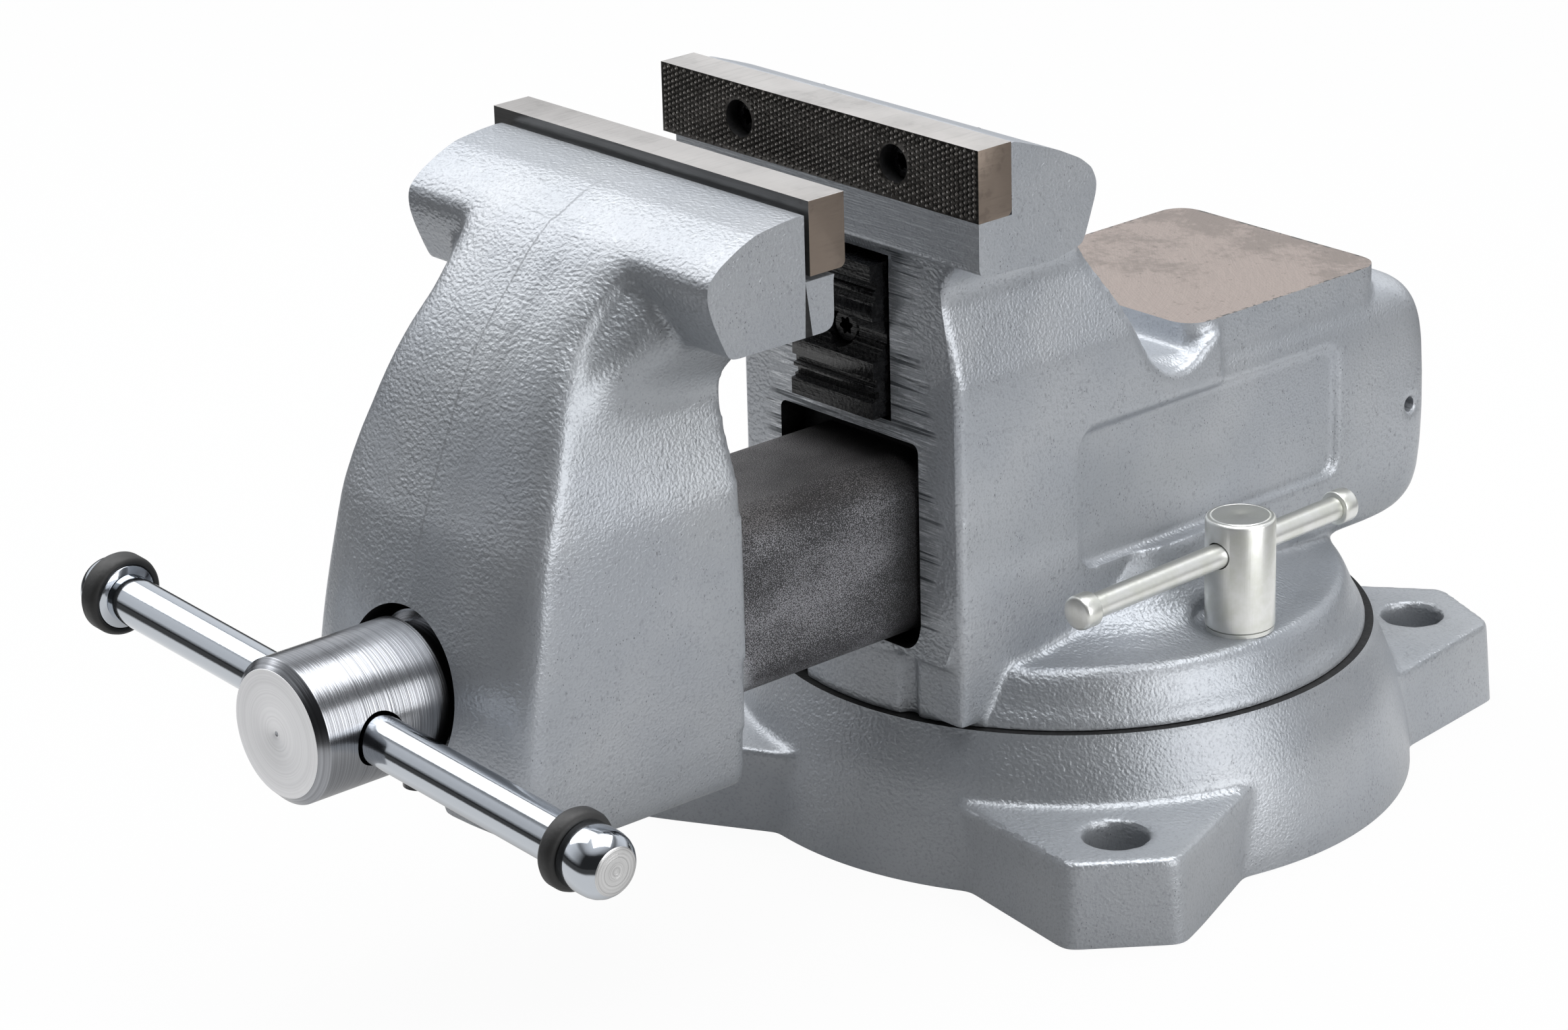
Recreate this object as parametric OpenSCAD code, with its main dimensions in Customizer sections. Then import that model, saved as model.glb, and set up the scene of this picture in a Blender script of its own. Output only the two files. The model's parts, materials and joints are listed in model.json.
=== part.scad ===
// Combination pipe and bench vise on a swivel base
// X runs across the jaws, Y towards the anvil, Z up
// The origin is the swivel axis at the bench plane

/* [Jaws] */
// width of both jaw plates
jaw_width = 127; // [80:1:200]
// height of a jaw plate
plate_height = 20.1; // [10:1:40]
// thickness of a jaw plate
plate_thickness = 12.65; // [6.5:0.5:25.5]
// height of the plate tops above the bench
jaw_top_height = 220; // [110:1:440]
// gap between the plate faces as drawn
jaw_opening = 46.7; // [0:0.1:120]
// how far the castings end short of the plates on one side
head_far_shortfall = 3.5; // [1.8:0.1:7]
// how far the rear plate face stands in front of the column
plate_overhang = 10.4; // [5:0.5:21]
// spacing of the two screws in a plate
plate_screw_spacing = 62; // [31:1:124]
// radius of a plate screw shank
plate_screw_radius = 3; // [1.5:0.1:6]
// radius of a plate screw head
plate_screw_head_radius = 5; // [2.5:0.5:10]
// height of a plate screw head
plate_screw_head_height = 5; // [2.5:0.5:10]
// length of a plate screw shank
plate_screw_length = 24; // [12:1:48]
// depth of a screw head below the plate face
plate_screw_recess = 4; // [2:0.1:8]
// size across the flats of a screw socket
socket_across = 5; // [2.5:0.5:10]
// depth of a screw socket
socket_depth = 3; // [1.5:0.1:6]

/* [Base] */
// radius of the base at its machined top
base_rim_radius = 89; // [44:1:178]
// height of the machined top of the base
base_height = 44.2; // [22:1:88]
// height of a bolt lug
lug_height = 25; // [12:1:50]
// distance from a bench bolt hole to the lug front
lug_end = 18.3; // [9:0.5:36.5]
// extra reach of a lug at the bench
lug_draft = 1.6; // [0.8:0.1:3.2]
// half width of a lug front
lug_half_width = 15; // [7.5:0.5:30]
// corner radius of a lug front
lug_corner_radius = 5; // [2.5:0.5:10]
// radius through the bench bolt holes
bolt_circle_radius = 114.3; // [57:1:229]
// radius of a bench bolt hole
bolt_hole_radius = 9.25; // [4.5:0.5:18.5]
// radius of the swivel spigot
spigot_radius = 24; // [12:1:48]
// running clearance of the spigot
spigot_clearance = 0.05; // [0.01:0.01:0.1]
// length of the swivel spigot
spigot_length = 31; // [16:1:62]
// distance from the base rim to the middle of the ring slot
tslot_inset = 19.5; // [10:0.5:39]
// half width of the ring slot mouth
tslot_half_mouth = 6.8; // [3.5:0.5:13.5]
// half width of the ring slot undercut
tslot_half_width = 12; // [6:0.5:24]
// height of the ring slot floor
tslot_floor_height = 18; // [9:0.5:36]
// height of the underside of the slot lips
tslot_lip_height = 33; // [16:1:66]
// depth of the recess under the base
recess_depth = 9; // [4.5:0.5:18]
// inner radius of the recess under the base
recess_inner_radius = 34; // [17:1:68]
// how far the recess under the base reaches past the rim
recess_outset = 2; // [1:0.1:4]
// radius of the pocket for fitting the T-nuts
entry_pocket_radius = 14.5; // [7:0.5:29]

/* [Body] */
// height of the top of the swivel flange
flange_top_height = 60; // [30:1:120]
// distance from swivel axis to the column front
column_front_reach = 85; // [42:1:170]
// half width of the column
column_half_width = 44.5; // [22:1:89]
// distance from the base rim to the apron under the slide opening
apron_inset = 0.8; // [0.4:0.1:1.6]
// half width of the apron
apron_half_width = 19.5; // [10:0.5:39]
// extra half width of the cast mouth around the bar
opening_relief = 1.6; // [0.8:0.1:3.2]
// depth of the cast mouth around the bar
opening_relief_depth = 9; // [4.5:0.5:18]
// extra height of the cast mouth above the bar
opening_top_rise = 4.5; // [2.2:0.1:9]
// height of the anvil face
anvil_height = 140.5; // [70:1:281]
// half width of the anvil
anvil_half_width = 41; // [20:1:82]
// start of the anvil behind the swivel axis
anvil_front = 9.5; // [5:0.5:19]
// end of the anvil behind the swivel axis
anvil_rear = 91; // [46:1:182]
// corner radius of the anvil
anvil_corner_radius = 8; // [4:0.5:16]
// depth of the anvil block below its face
anvil_block_depth = 22; // [11:1:44]
// rear end of the body behind the swivel axis
housing_rear = 115; // [58:1:230]
// rear end of the slide passage
passage_rear = 97; // [48:1:194]
// depth of the side panel
panel_depth = 1.6; // [0.8:0.1:3.2]
// reach of the side panel to the front
panel_front_reach = 38; // [19:1:76]
// reach of the side panel to the rear
panel_rear_reach = 70; // [35:1:140]
// lower edge of the side panel
panel_low_height = 80.5; // [40:1:161]
// upper edge of the side panel
panel_top_height = 121.5; // [61:1:243]
// corner radius of the side panel
panel_corner_radius = 6; // [3:0.5:12]
// radius of the flat pad under a lock bolt
lock_pad_radius = 13.5; // [7:0.5:27]

/* [Slide] */
// half width of the slide bar
bar_half_width = 26.5; // [13:1:53]
// corner radius of the slide bar
bar_corner_radius = 12; // [6:0.5:24]
// running clearance of the slide bar
bar_clearance = 0.08; // [0.01:0.01:0.1]
// radius of the hollow in the slide bar
bar_hollow_radius = 20; // [10:1:40]
// length of the slide bar
bar_length = 213; // [106:1:426]
// height of the spindle and slide axis
slide_axis_height = 93.8; // [47:1:188]
// half width of the keel under the arm
keel_half_width = 7; // [3.5:0.5:14]
// distance from the back of the front plate to the back of the arm
arm_set_back = 10.25; // [5:0.5:20.5]
// depth of the arm at its deepest
arm_depth = 82.4; // [41:1:165]
// half width of the arm
arm_half_width = 45; // [22:1:90]
// rounding of the arm front edges
arm_edge_radius = 5; // [2.5:0.5:10]

/* [Pipe jaws] */
// half width of a pipe jaw
pipe_jaw_half_width = 16.5; // [8:0.5:33]
// gap around a pipe jaw in its slot
pipe_slot_clearance = 1; // [0.5:0.1:2]
// length of the rear pipe jaw from its seat to its tips
rear_pipe_jaw_length = 19; // [9.5:0.5:38]
// depth of the pipe jaw slot in the column
rear_pipe_seat_depth = 13; // [6.5:0.5:26]
// length of the front pipe jaw from its seat to its tips
front_pipe_jaw_length = 22; // [11:1:44]
// depth of the pipe jaw slot in the arm
front_pipe_seat_depth = 6; // [3:0.5:12]
// depth of the pipe jaw valley
pipe_valley_depth = 6; // [3:0.5:12]
// radius of a pipe jaw screw shank
pipe_screw_radius = 3; // [1.5:0.1:6]
// radius of a pipe jaw screw head
pipe_screw_head_radius = 4.8; // [2.4:0.1:9.6]
// height of a pipe jaw screw head
pipe_screw_head_height = 4; // [2:0.1:8]
// length of a pipe jaw screw shank
pipe_screw_length = 22; // [11:1:44]

/* [Spindle] */
// radius of the spindle head
head_radius = 19.75; // [10:0.5:39.5]
// distance from the back of the arm to the back of the spindle head
head_seat_depth = 61; // [30:1:122]
// length of the spindle head
head_length = 58.9; // [29:1:118]
// chamfer of the head face
head_chamfer = 2.5; // [1.2:0.1:5]
// radius of the recess around the head
recess_radius = 22.7; // [11:1:45]
// thickness of the thrust washer
washer_thickness = 2.5; // [1.2:0.1:5]
// radius of the thrust washer
washer_radius = 21.5; // [11:1:43]
// radius of the spindle journal
journal_radius = 14; // [7:0.5:28]
// running clearance of the journal
journal_clearance = 0.05; // [0.01:0.01:0.1]
// radius over the spindle thread
screw_radius = 11; // [5.5:0.5:22]
// depth of the spindle thread
thread_depth = 1.6; // [0.8:0.1:3.2]
// pitch of the spindle thread
thread_pitch = 5; // [2.5:0.5:10]
// threaded length of the spindle
screw_length = 203; // [102:1:406]
// distance from the back of the arm to the thread
screw_start = 2; // [1:0.1:4]
// distance from the back of the head to the keeper screw
keeper_inset = 14; // [7:0.5:28]
// depth of the keeper groove in the head
keeper_groove_depth = 3; // [1.5:0.1:6]
// half width of the keeper groove
keeper_groove_half_width = 3.6; // [1.8:0.1:7.2]
// radius of the keeper screw tip
keeper_tip_radius = 2.5; // [1.2:0.1:5]
// radius of the keeper screw thread
keeper_thread_radius = 4; // [2:0.1:8]
// radius of the keeper screw head
keeper_head_radius = 4.6; // [2.3:0.1:9.2]
// height of the keeper screw head
keeper_head_height = 4; // [2:0.1:8]
// height of the keeper screw seat above the recess wall foot
keeper_sink = 1.5; // [0.8:0.1:3]
// radius of the tube nut
nut_radius = 16.8; // [8.5:0.5:33.5]
// front end of the tube nut
nut_front_reach = 75; // [38:1:150]
// threaded length of the tube nut
nut_threaded_length = 35; // [18:1:70]
// radius of the plain hollow of the tube nut
nut_hollow_radius = 12.6; // [6.5:0.5:25]
// gap between spindle thread and nut
nut_clearance = 0.35; // [0.18:0.01:0.7]
// radius of the spring pin
pin_radius = 2.3; // [1.1:0.1:4.6]
// radius of the hollow in the spring pin
pin_hollow_radius = 1.3; // [0.6:0.1:2.6]
// distance from swivel axis to the spring pin
pin_rear = 102; // [51:1:204]
// outer end of the spring pin
pin_outer_half_width = 38.5; // [19:1:77]
// inner end of the spring pin
pin_inner_half_width = 13.6; // [7:0.5:27]

/* [Handle] */
// distance from the head face to the handle axis
handle_inset = 18.7; // [9.5:0.5:37.5]
// radius of the handle bar
handle_radius = 6.75; // [3.5:0.5:13.5]
// radius of the handle hole in the head
handle_bore_radius = 7.5; // [4:0.5:15]
// turn of the spindle as drawn, in degrees
handle_tilt = 4.05; // [0:0.05:20]
// distance from spindle axis to the near knob end
knob_end = 112.4; // [56:1:225]
// distance from spindle axis to the far knob end
far_knob_end = 104.5; // [52:1:209]
// length of a handle knob
knob_length = 12.6; // [6.5:0.5:25]
// radius of a handle knob
knob_radius = 9.1; // [4.5:0.5:18]
// radius of a rubber ring
ring_radius = 10.8; // [5.5:0.5:21.5]
// thickness of the near rubber ring
ring_thickness = 5.4; // [2.5:0.5:11]
// radius of the far ring, stretched over its knob
far_ring_radius = 11.3; // [5.5:0.5:22.5]
// thickness of the far ring
far_ring_thickness = 6.6; // [3.5:0.5:13]

/* [Swivel locks] */
// radius of a lock bolt head
lock_head_radius = 10.05; // [5:0.5:20]
// height of the top of a lock bolt
lock_top_height = 94.1; // [47:1:188]
// chamfer of a lock bolt head
lock_chamfer = 1; // [0.5:0.1:2]
// radius of a lock bolt shank
lock_shank_radius = 6; // [3:0.5:12]
// running clearance in the T-nut
lock_shank_clearance = 0.06; // [0.01:0.01:0.1]
// radius of the washer under a lock bolt
lock_washer_radius = 9.8; // [5:0.5:19.5]
// thickness of the washer under a lock bolt
lock_washer_thickness = 1.2; // [0.6:0.1:2.4]
// height of a lock bar axis
lock_bar_height = 84.25; // [42:1:168]
// radius of a lock bar
lock_bar_radius = 3.6; // [1.8:0.1:7.2]
// radius of the hole for a lock bar
lock_bar_bore_radius = 3.95; // [2:0.1:7.9]
// reach of a lock bar to the front
lock_bar_front_reach = 62.3; // [31:1:125]
// reach of a lock bar to the rear
lock_bar_rear_reach = 40.6; // [20:1:81]
// turn of the lock bars as drawn, in degrees
lock_bar_yaw = 2.07; // [0:0.01:12]
// radius of a lock bar cap
cap_radius = 5; // [2.5:0.5:10]
// length of a lock bar cap
cap_length = 6; // [3:0.5:12]
// half width of a T-nut
tnut_half_width = 10; // [5:0.5:20]
// height of a T-nut
tnut_height = 12; // [6:0.5:24]
// gap between a T-nut and the slot lips
tnut_gap = 0.3; // [0.15:0.01:0.6]

/* [Hidden] */
$fn = 48;
plate_low = jaw_top_height - plate_height;
rear_face_reach = column_front_reach + plate_overhang;
rear_face = -rear_face_reach;
rear_back = rear_face + plate_thickness;
front_face = rear_face - jaw_opening;
front_back = front_face - plate_thickness;
plate_mid = plate_low + plate_height / 2;
far = jaw_width * 4;
quarter_turn = 90;
bar_top = slide_axis_height + bar_half_width;
pipe_low_share = 0.153;
pipe_top_share = 0.712;
pipe_jaw_low_height = bar_top + (plate_low - bar_top) * pipe_low_share;
pipe_jaw_top_height = bar_top + (plate_low - bar_top) * pipe_top_share;
column_foot = base_height * 1.04;
column_span = jaw_top_height - column_foot;
arm_back_reach = -front_back + arm_set_back;
bar_rear = bar_length - arm_back_reach;
screw_front_reach = arm_back_reach - screw_start;
screw_rear = screw_length - screw_front_reach;
rear_pipe_seat_reach = column_front_reach - rear_pipe_seat_depth;
rear_pipe_peak_reach = rear_pipe_seat_reach + rear_pipe_jaw_length;
front_pipe_seat_reach = arm_back_reach + front_pipe_seat_depth;
front_pipe_peak_reach = front_pipe_seat_reach - front_pipe_jaw_length;
lug_reach = bolt_circle_radius + lug_end;
tslot_radius = base_rim_radius - tslot_inset;
recess_outer_radius = base_rim_radius + recess_outset;
apron_radius = base_rim_radius - apron_inset;
arm_foot = slide_axis_height - bar_half_width * 1.45;
arm_span = jaw_top_height - arm_foot;
head_back_reach = arm_back_reach + head_seat_depth;
head_face_reach = head_back_reach + head_length;
keeper_reach = head_back_reach + keeper_inset;
handle_reach = head_face_reach - handle_inset;
cast_paint = [0.66, 0.69, 0.72];
dark_steel = [0.2, 0.2, 0.21];
bright_steel = [0.8, 0.8, 0.81];
ground_steel = [0.5, 0.47, 0.44];
black_oxide = [0.07, 0.07, 0.08];
black_rubber = [0.05, 0.05, 0.05];
zinc = [0.72, 0.73, 0.69];
bronze = [0.55, 0.42, 0.25];
lug_turn = 15.2;
lug_angles = [53.5, -53.5, 137.8, 222.2];

// wall of the base, radius in rim radii and height in base heights
base_wall_shares = [
    [1.1404, 0], [1.136, 0.1131], [1.1258, 0.2489], [1.1101, 0.4072], [1.0899, 0.5656],
    [1.0697, 0.7014], [1.0427, 0.8371], [1.0225, 0.9276], [1.0112, 0.9774], [1, 1]
];
// edge of the swivel flange, radius in rim radii and height in flange heights
flange_shares = [
    [0.9798, 0.019], [0.9831, 0.0823], [0.973, 0.2089], [0.9551, 0.3671], [0.9326, 0.6835],
    [0.9146, 0.8987], [0.8921, 1]
];
// concave blend from flange to body sides, radius and rise in rim radii
blend_shares = [
    [0.8921, 0], [0.7978, 0.0045], [0.7079, 0.0225], [0.6404, 0.0562], [0.5899, 0.1067],
    [0.5562, 0.1685], [0.5326, 0.236], [0.5112, 0.3146], [0.4944, 0.382]
];
// side view of the column, place in column reaches, height in column spans
column_side_shares = [
    [-1, 0.0002], [-1, 0.7874], [-0.9411, 0.8851], [-0.7058, 0.9023], [-0.5882, 0.8678],
    [-0.4823, 0.7989], [-0.4, 0.7472], [-0.3176, 0.6897], [-0.2235, 0.6208], [-0.1588, 0.5604],
    [-0.0941, 0.5116], [-0.0235, 0.4875], [0.0353, 0.4829], [0.0941, 0.4915], [0.1647, 0.5173],
    [0.2353, 0.5288], [0.2353, 0.0002]
];
// front view of the column, flare from its own half width to the jaw, height in column spans
column_front_shares = [
    [-0.0474, 0.0002], [-0.016, 0.0806], [0, 0.2415], [-0.016, 0.5748], [-0.1423, 0.6323],
    [-0.2319, 0.6725], [-0.3001, 0.7012], [-0.3001, 0.7242], [-0.2266, 0.7472], [-0.0528, 0.7702],
    [0.2367, 0.7874], [0.6578, 0.8018], [0.6578, 0.9138]
];
// side view of the fixed jaw head from the plate's back and top, in plate heights
head_side_shares = [
    [-0.6042, -1.7015], [-0.5694, -1.7414], [0.7037, -1.8159], [0.9331, -1.7862],
    [1.3059, -1.7066], [1.3804, -1.5524], [1.4701, -1.3187], [1.5649, -1.0596], [1.5946, -0.8953],
    [1.4904, -0.6767], [1.2812, -0.5074], [0.868, -0.3033], [0.4952, -0.1643], [0.0276, 0],
    [-0.6042, 0]
];
// side view of the sliding jaw head from the plate's back and top, in plate heights
front_head_side_shares = [
    [0.3956, -0.1542], [-0.1068, -0.1542], [-0.4953, -0.1839], [-0.8928, -0.2388],
    [-1.1765, -0.3481], [-1.5202, -0.5326], [-1.6939, -0.6868], [-1.7388, -0.786],
    [-1.7236, -0.9951], [-1.6491, -1.2289], [-1.5246, -1.5177], [-1.3907, -1.7913],
    [0.3159, -1.8007], [0.3956, -1.7117]
];
// housing rows, height from the slide axis, half width, front, rear, corner radius
housing_rows_shares = [
    [-0.7345, 0.9268, -0.5217, 0.8522, 0.3415], [-0.6916, 1, -0.5217, 0.9217, 0.3659],
    [-0.6167, 1.039, -0.5217, 0.9652, 0.3659], [-0.4668, 1.0537, -0.5217, 0.9913, 0.3415],
    [-0.0814, 1.0585, -0.5217, 1, 0.3171], [0.3897, 1.0537, -0.5217, 0.9948, 0.3171],
    [0.6039, 1.039, -0.5217, 0.9791, 0.3171], [0.7323, 1.0098, -0.5217, 0.9513, 0.3171],
    [0.8051, 0.961, -0.5217, 0.9165, 0.3171], [0.8394, 0.8902, -0.5217, 0.8739, 0.3171]
];
// arm rows, height in arm spans, front centre and ridge in arm depths, flares, back
arm_rows_shares = [
    [0.0002, 0.7524, 0.6917, -0.189, -0.13, 0.0169],
    [0.0099, 0.7888, 0.7282, -0.0867, -0.0435, 0.0049],
    [0.0281, 0.8373, 0.7766, -0.027, -0.0215, 0], [0.0585, 0.9163, 0.8435, -0.0057, -0.0105, 0],
    [0.0949, 0.9758, 0.8884, -0.0002, -0.0002, 0], [0.1496, 1, 0.915, -0.0002, -0.0002, 0],
    [0.2346, 0.9879, 0.8981, -0.0002, -0.0002, 0], [0.344, 0.9417, 0.8568, 0.0108, -0.0002, 0],
    [0.4776, 0.8592, 0.801, -0.0002, -0.0002, 0], [0.5748, 0.7791, 0.7318, -0.0325, -0.0538, 0],
    [0.6234, 0.7379, 0.6917, -0.1403, -0.189, 0], [0.672, 0.6942, 0.6505, -0.3242, -0.3675, 0],
    [0.7145, 0.6505, 0.6068, -0.5192, -0.5405, 0], [0.757, 0.5983, 0.551, -0.6489, -0.5947, 0],
    [0.7995, 0.5363, 0.4781, -0.5837, -0.454, 0], [0.836, 0.4721, 0.4053, -0.2165, -0.0538, 0],
    [0.8724, 0.4053, 0.3349, 0.378, 0.4865, 0], [0.9028, 0.3471, 0.284, 0.7028, 0.7028, 0],
    [0.9301, 0.2743, 0.2281, 0.7028, 0.7028, 0]
];
// side view of the keel, reach from the arm back in arm depths, height in bar half widths
keel_side_shares = [
    [0.7767, 0.0991], [0.7646, -0.1462], [0.6371, -0.4217], [0.2549, -0.4217], [0.1942, -0.2028],
    [0.1699, 0.0991]
];
// side view of a pipe jaw face, height in half heights and rise in valley depths
jaw_step_shares = [
    [0, 0], [0.1169, 0], [0.1169, 0.2333], [0.2517, 0.1167], [0.2517, 0.3833], [0.3865, 0.25],
    [0.3865, 0.5167], [0.5213, 0.3833], [0.5213, 0.6667], [0.6562, 0.5333], [0.6562, 0.8167],
    [0.791, 0.7], [0.791, 1], [1, 1]
];

// adds a mirrored copy across the middle plane
module both() {
    children();
    mirror([1, 0, 0]) children();
}

// closed skin through rows of points with the same count
module skin(rows) {
    n = len(rows[0]);
    m = len(rows);
    polyhedron(
        points = [for (row = rows) for (p = row) p],
        faces = concat(
            [[for (i = [0 : n - 1]) i]],
            [for (j = [0 : m - 2]) for (i = [0 : n - 1])
                [j * n + i, (j + 1) * n + i, (j + 1) * n + (i + 1) % n]],
            [for (j = [0 : m - 2]) for (i = [0 : n - 1])
                [j * n + i, (j + 1) * n + (i + 1) % n, j * n + (i + 1) % n]],
            [[for (i = [n - 1 : -1 : 0]) (m - 1) * n + i]]
        )
    );
}

// smooth rows in between the given ones
function blend4(a, b, c, d, t) = 0.5 * (2 * b + (c - a) * t
    + (2 * a - 5 * b + 4 * c - d) * t * t + (3 * b - a - 3 * c + d) * t * t * t);
function refined(rows, k) = concat(
    [for (i = [0 : len(rows) - 2]) for (s = [0 : k - 1])
        blend4(rows[max(i - 1, 0)], rows[i], rows[i + 1], rows[min(i + 2, len(rows) - 1)], s / k)],
    [rows[len(rows) - 1]]);

// half width between a piece's own and that of the jaws
function flare(share, half) = half + share * (jaw_width / 2 - half);

// outline about the swivel axis, radii in rim radii
function rim_outline(shares, height, zero) =
    [for (p = shares) [p[0] * base_rim_radius, zero + p[1] * height]];

// rounded rectangle in plan for one housing row
function housing_plan(r, k) = let(w = r[1] * anvil_half_width, f = r[2] * housing_rear,
    b = r[3] * housing_rear, c = r[4] * anvil_half_width,
    z = slide_axis_height + r[0] * (anvil_height - slide_axis_height)) [
    for (p = concat(
        [[w, f]],
        [for (i = [0 : k]) [w - c + c * cos(quarter_turn * i / k), b - c + c * sin(quarter_turn * i / k)]],
        [for (i = [0 : k]) [-w + c - c * sin(quarter_turn * i / k), b - c + c * cos(quarter_turn * i / k)]],
        [[-w, f]])) [p[0], p[1], z]];

// one row of the arm as height, front centre, front ridge, half widths and back
function arm_row(r) = [arm_foot + r[0] * arm_span, -arm_back_reach - r[1] * arm_depth,
    -arm_back_reach - r[2] * arm_depth, flare(r[3], arm_half_width), flare(r[4], arm_half_width),
    -arm_back_reach - r[5] * arm_depth];

// plan of the arm for one row, bowed front, rounded ridges, flat back
function arm_half(r) = let(yc = r[1], yr = r[2], xr = r[3], xb = r[4], yb = r[5], d = yr - yc,
    e = arm_edge_radius) [
    [xr * 0.28, yc + d * 0.05], [xr * 0.52, yc + d * 0.22], [xr * 0.74, yc + d * 0.5],
    [xr - e * 0.95, yc + d * 0.84], [xr - e * 0.36, yr + e * 0.22], [xr - e * 0.06, yr + e * 0.62],
    [xr, yr + e * 1.2], [xr * 0.66 + xb * 0.34, yr * 0.66 + yb * 0.34],
    [xr * 0.33 + xb * 0.67, yr * 0.33 + yb * 0.67], [xb, yb]];
function arm_plan(r) = let(h = arm_half(r)) [
    for (p = concat([[0, r[1]]], h, [for (i = [len(h) - 1 : -1 : 0]) [-h[i][0], h[i][1]]]))
        [p[0], p[1], r[0]]];

// side view polygon drawn over the given half width
module side_extrude(points, half) {
    rotate([90, 0, 90]) translate([0, 0, -half]) linear_extrude(half * 2) polygon(points);
}

// jaw head, a little short of the plate at its far end
module head_extrude(shares, plate_back) {
    translate([0, plate_back, jaw_top_height]) rotate([90, 0, 90])
        translate([0, 0, head_far_shortfall - jaw_width / 2])
            linear_extrude(jaw_width - head_far_shortfall) polygon(shares * plate_height);
}

// rounded square bar section
module rounded_square(half, corner) {
    square([half * 2, (half - corner) * 2], center = true);
    square([(half - corner) * 2, half * 2], center = true);
    for (sx = [-1, 1]) for (sz = [-1, 1])
        translate([sx * (half - corner), sz * (half - corner)]) circle(corner);
}

// cylinder along Y from start to stop at the slide axis
module along_y(radius, start, stop, height = slide_axis_height) {
    translate([0, stop, height]) rotate([90, 0, 0]) cylinder(h = stop - start, r = radius);
}

// plan of a lug with rounded front corners
function lug_plan(reach, w, z) = let(
    r = lug_corner_radius, tip_x = base_rim_radius * 0.95, tip_y = base_rim_radius * 0.49,
    t = atan((tip_y - w) / (reach - tip_x)), inset = r * tan((quarter_turn - t) / 2), k = 4,
    side = concat([[tip_x / 2, tip_y], [tip_x, tip_y]],
        [for (i = [0 : k]) let(a = (quarter_turn - t) * (1 - i / k))
            [reach - r + r * cos(a), w - inset + r * sin(a)]]))
    [for (p = concat([for (q = side) [q[0], -q[1]]], [for (i = [len(side) - 1 : -1 : 0]) side[i]]))
        [p[0], p[1], z]];

module base() {
    color(cast_paint) difference() {
        union() {
            rotate_extrude($fn = 96)
                polygon(concat([[0, 0]], rim_outline(base_wall_shares, base_height, 0),
                    [[0, base_height]]));
            for (a = lug_angles) rotate([0, 0, a + lug_turn]) {
                skin([lug_plan(lug_reach + lug_draft, lug_half_width + lug_draft, 0),
                    lug_plan(lug_reach, lug_half_width, lug_height)]);
            }
        }
        for (a = lug_angles) rotate([0, 0, a + lug_turn])
            translate([bolt_circle_radius, 0, -lug_height / 2])
                cylinder(h = lug_height * 2, r = bolt_hole_radius);
        translate([0, 0, -base_height / 2])
            cylinder(h = base_height * 2, r = spigot_radius + spigot_clearance);
        rotate_extrude($fn = 96) translate([tslot_radius, 0]) {
            translate([-tslot_half_mouth, tslot_floor_height]) square([tslot_half_mouth * 2, base_height]);
            translate([-tslot_half_width, tslot_floor_height])
                square([tslot_half_width * 2, tslot_lip_height - tslot_floor_height]);
        }
        rotate_extrude($fn = 96) polygon([
            [recess_inner_radius, -recess_depth], [recess_outer_radius, -recess_depth],
            [recess_outer_radius, recess_depth], [recess_inner_radius, recess_depth]]);
        translate([0, tslot_radius, 0])
            cylinder(h = tslot_floor_height + tnut_height / 2, r = entry_pocket_radius);
    }
}

module body_sides() {
    rows = [for (p = column_front_shares)
        [flare(p[0], column_half_width), column_foot + p[1] * column_span]];
    both() translate([0, far / 2, 0]) rotate([90, 0, 0]) linear_extrude(far)
        polygon(concat([[0, rows[0][1]]], rows, [[0, rows[len(rows) - 1][1]]]));
}

module panel_cut() {
    reach = panel_front_reach + panel_rear_reach;
    tall = panel_top_height - panel_low_height;
    r = panel_corner_radius;
    translate([column_half_width - panel_depth * 1.9, -panel_front_reach, panel_low_height])
        rotate([90, 0, 90]) linear_extrude(panel_depth * 4) {
            translate([r, 0]) square([reach - r * 2, tall]);
            translate([0, r]) square([reach, tall - r * 2]);
            for (y = [r, reach - r]) for (z = [r, tall - r]) translate([y, z]) circle(r);
        }
}

module body() {
    color(cast_paint) difference() {
        union() {
            rotate_extrude($fn = 96)
                polygon(concat([[0, base_height], [base_rim_radius * 0.93, base_height]],
                    rim_outline(flange_shares, flange_top_height - base_height, base_height),
                    [[0, flange_top_height]]));
            translate([0, 0, base_height - spigot_length]) cylinder(h = spigot_length * 2, r = spigot_radius);
            intersection() {
                rotate_extrude($fn = 96) polygon(concat([[0, flange_top_height]],
                    rim_outline(blend_shares, base_rim_radius, flange_top_height),
                    [[0, flange_top_height + blend_shares[len(blend_shares) - 1][1] * base_rim_radius]]));
                translate([-far / 2, -column_front_reach * 0.62, 0]) cube([far, far, far]);
            }
            intersection() {
                side_extrude([for (p = column_side_shares)
                    [p[0] * column_front_reach, column_foot + p[1] * column_span]],
                    jaw_width / 2);
                body_sides();
            }
            intersection() {
                translate([0, 0, base_height * 1.03])
                    cylinder(h = slide_axis_height - bar_half_width - base_height, r = apron_radius);
                translate([-apron_half_width, -far, 0]) cube([apron_half_width * 2, far, far]);
            }
            skin([for (row = refined(housing_rows_shares, 2)) housing_plan(row, 6)]);
            head_extrude(head_side_shares, rear_back);
            translate([0, 0, anvil_height - anvil_block_depth]) linear_extrude(anvil_block_depth) {
                r = anvil_corner_radius;
                w = anvil_half_width;
                translate([-w + r, anvil_front]) square([(w - r) * 2, anvil_rear - anvil_front]);
                translate([-w, anvil_front + r]) square([w * 2, anvil_rear - anvil_front - r * 2]);
                for (sx = [-1, 1]) for (y = [anvil_front + r, anvil_rear - r])
                    translate([sx * (w - r), y]) circle(r);
            }
        }
        body_cuts();
    }
}

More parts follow.
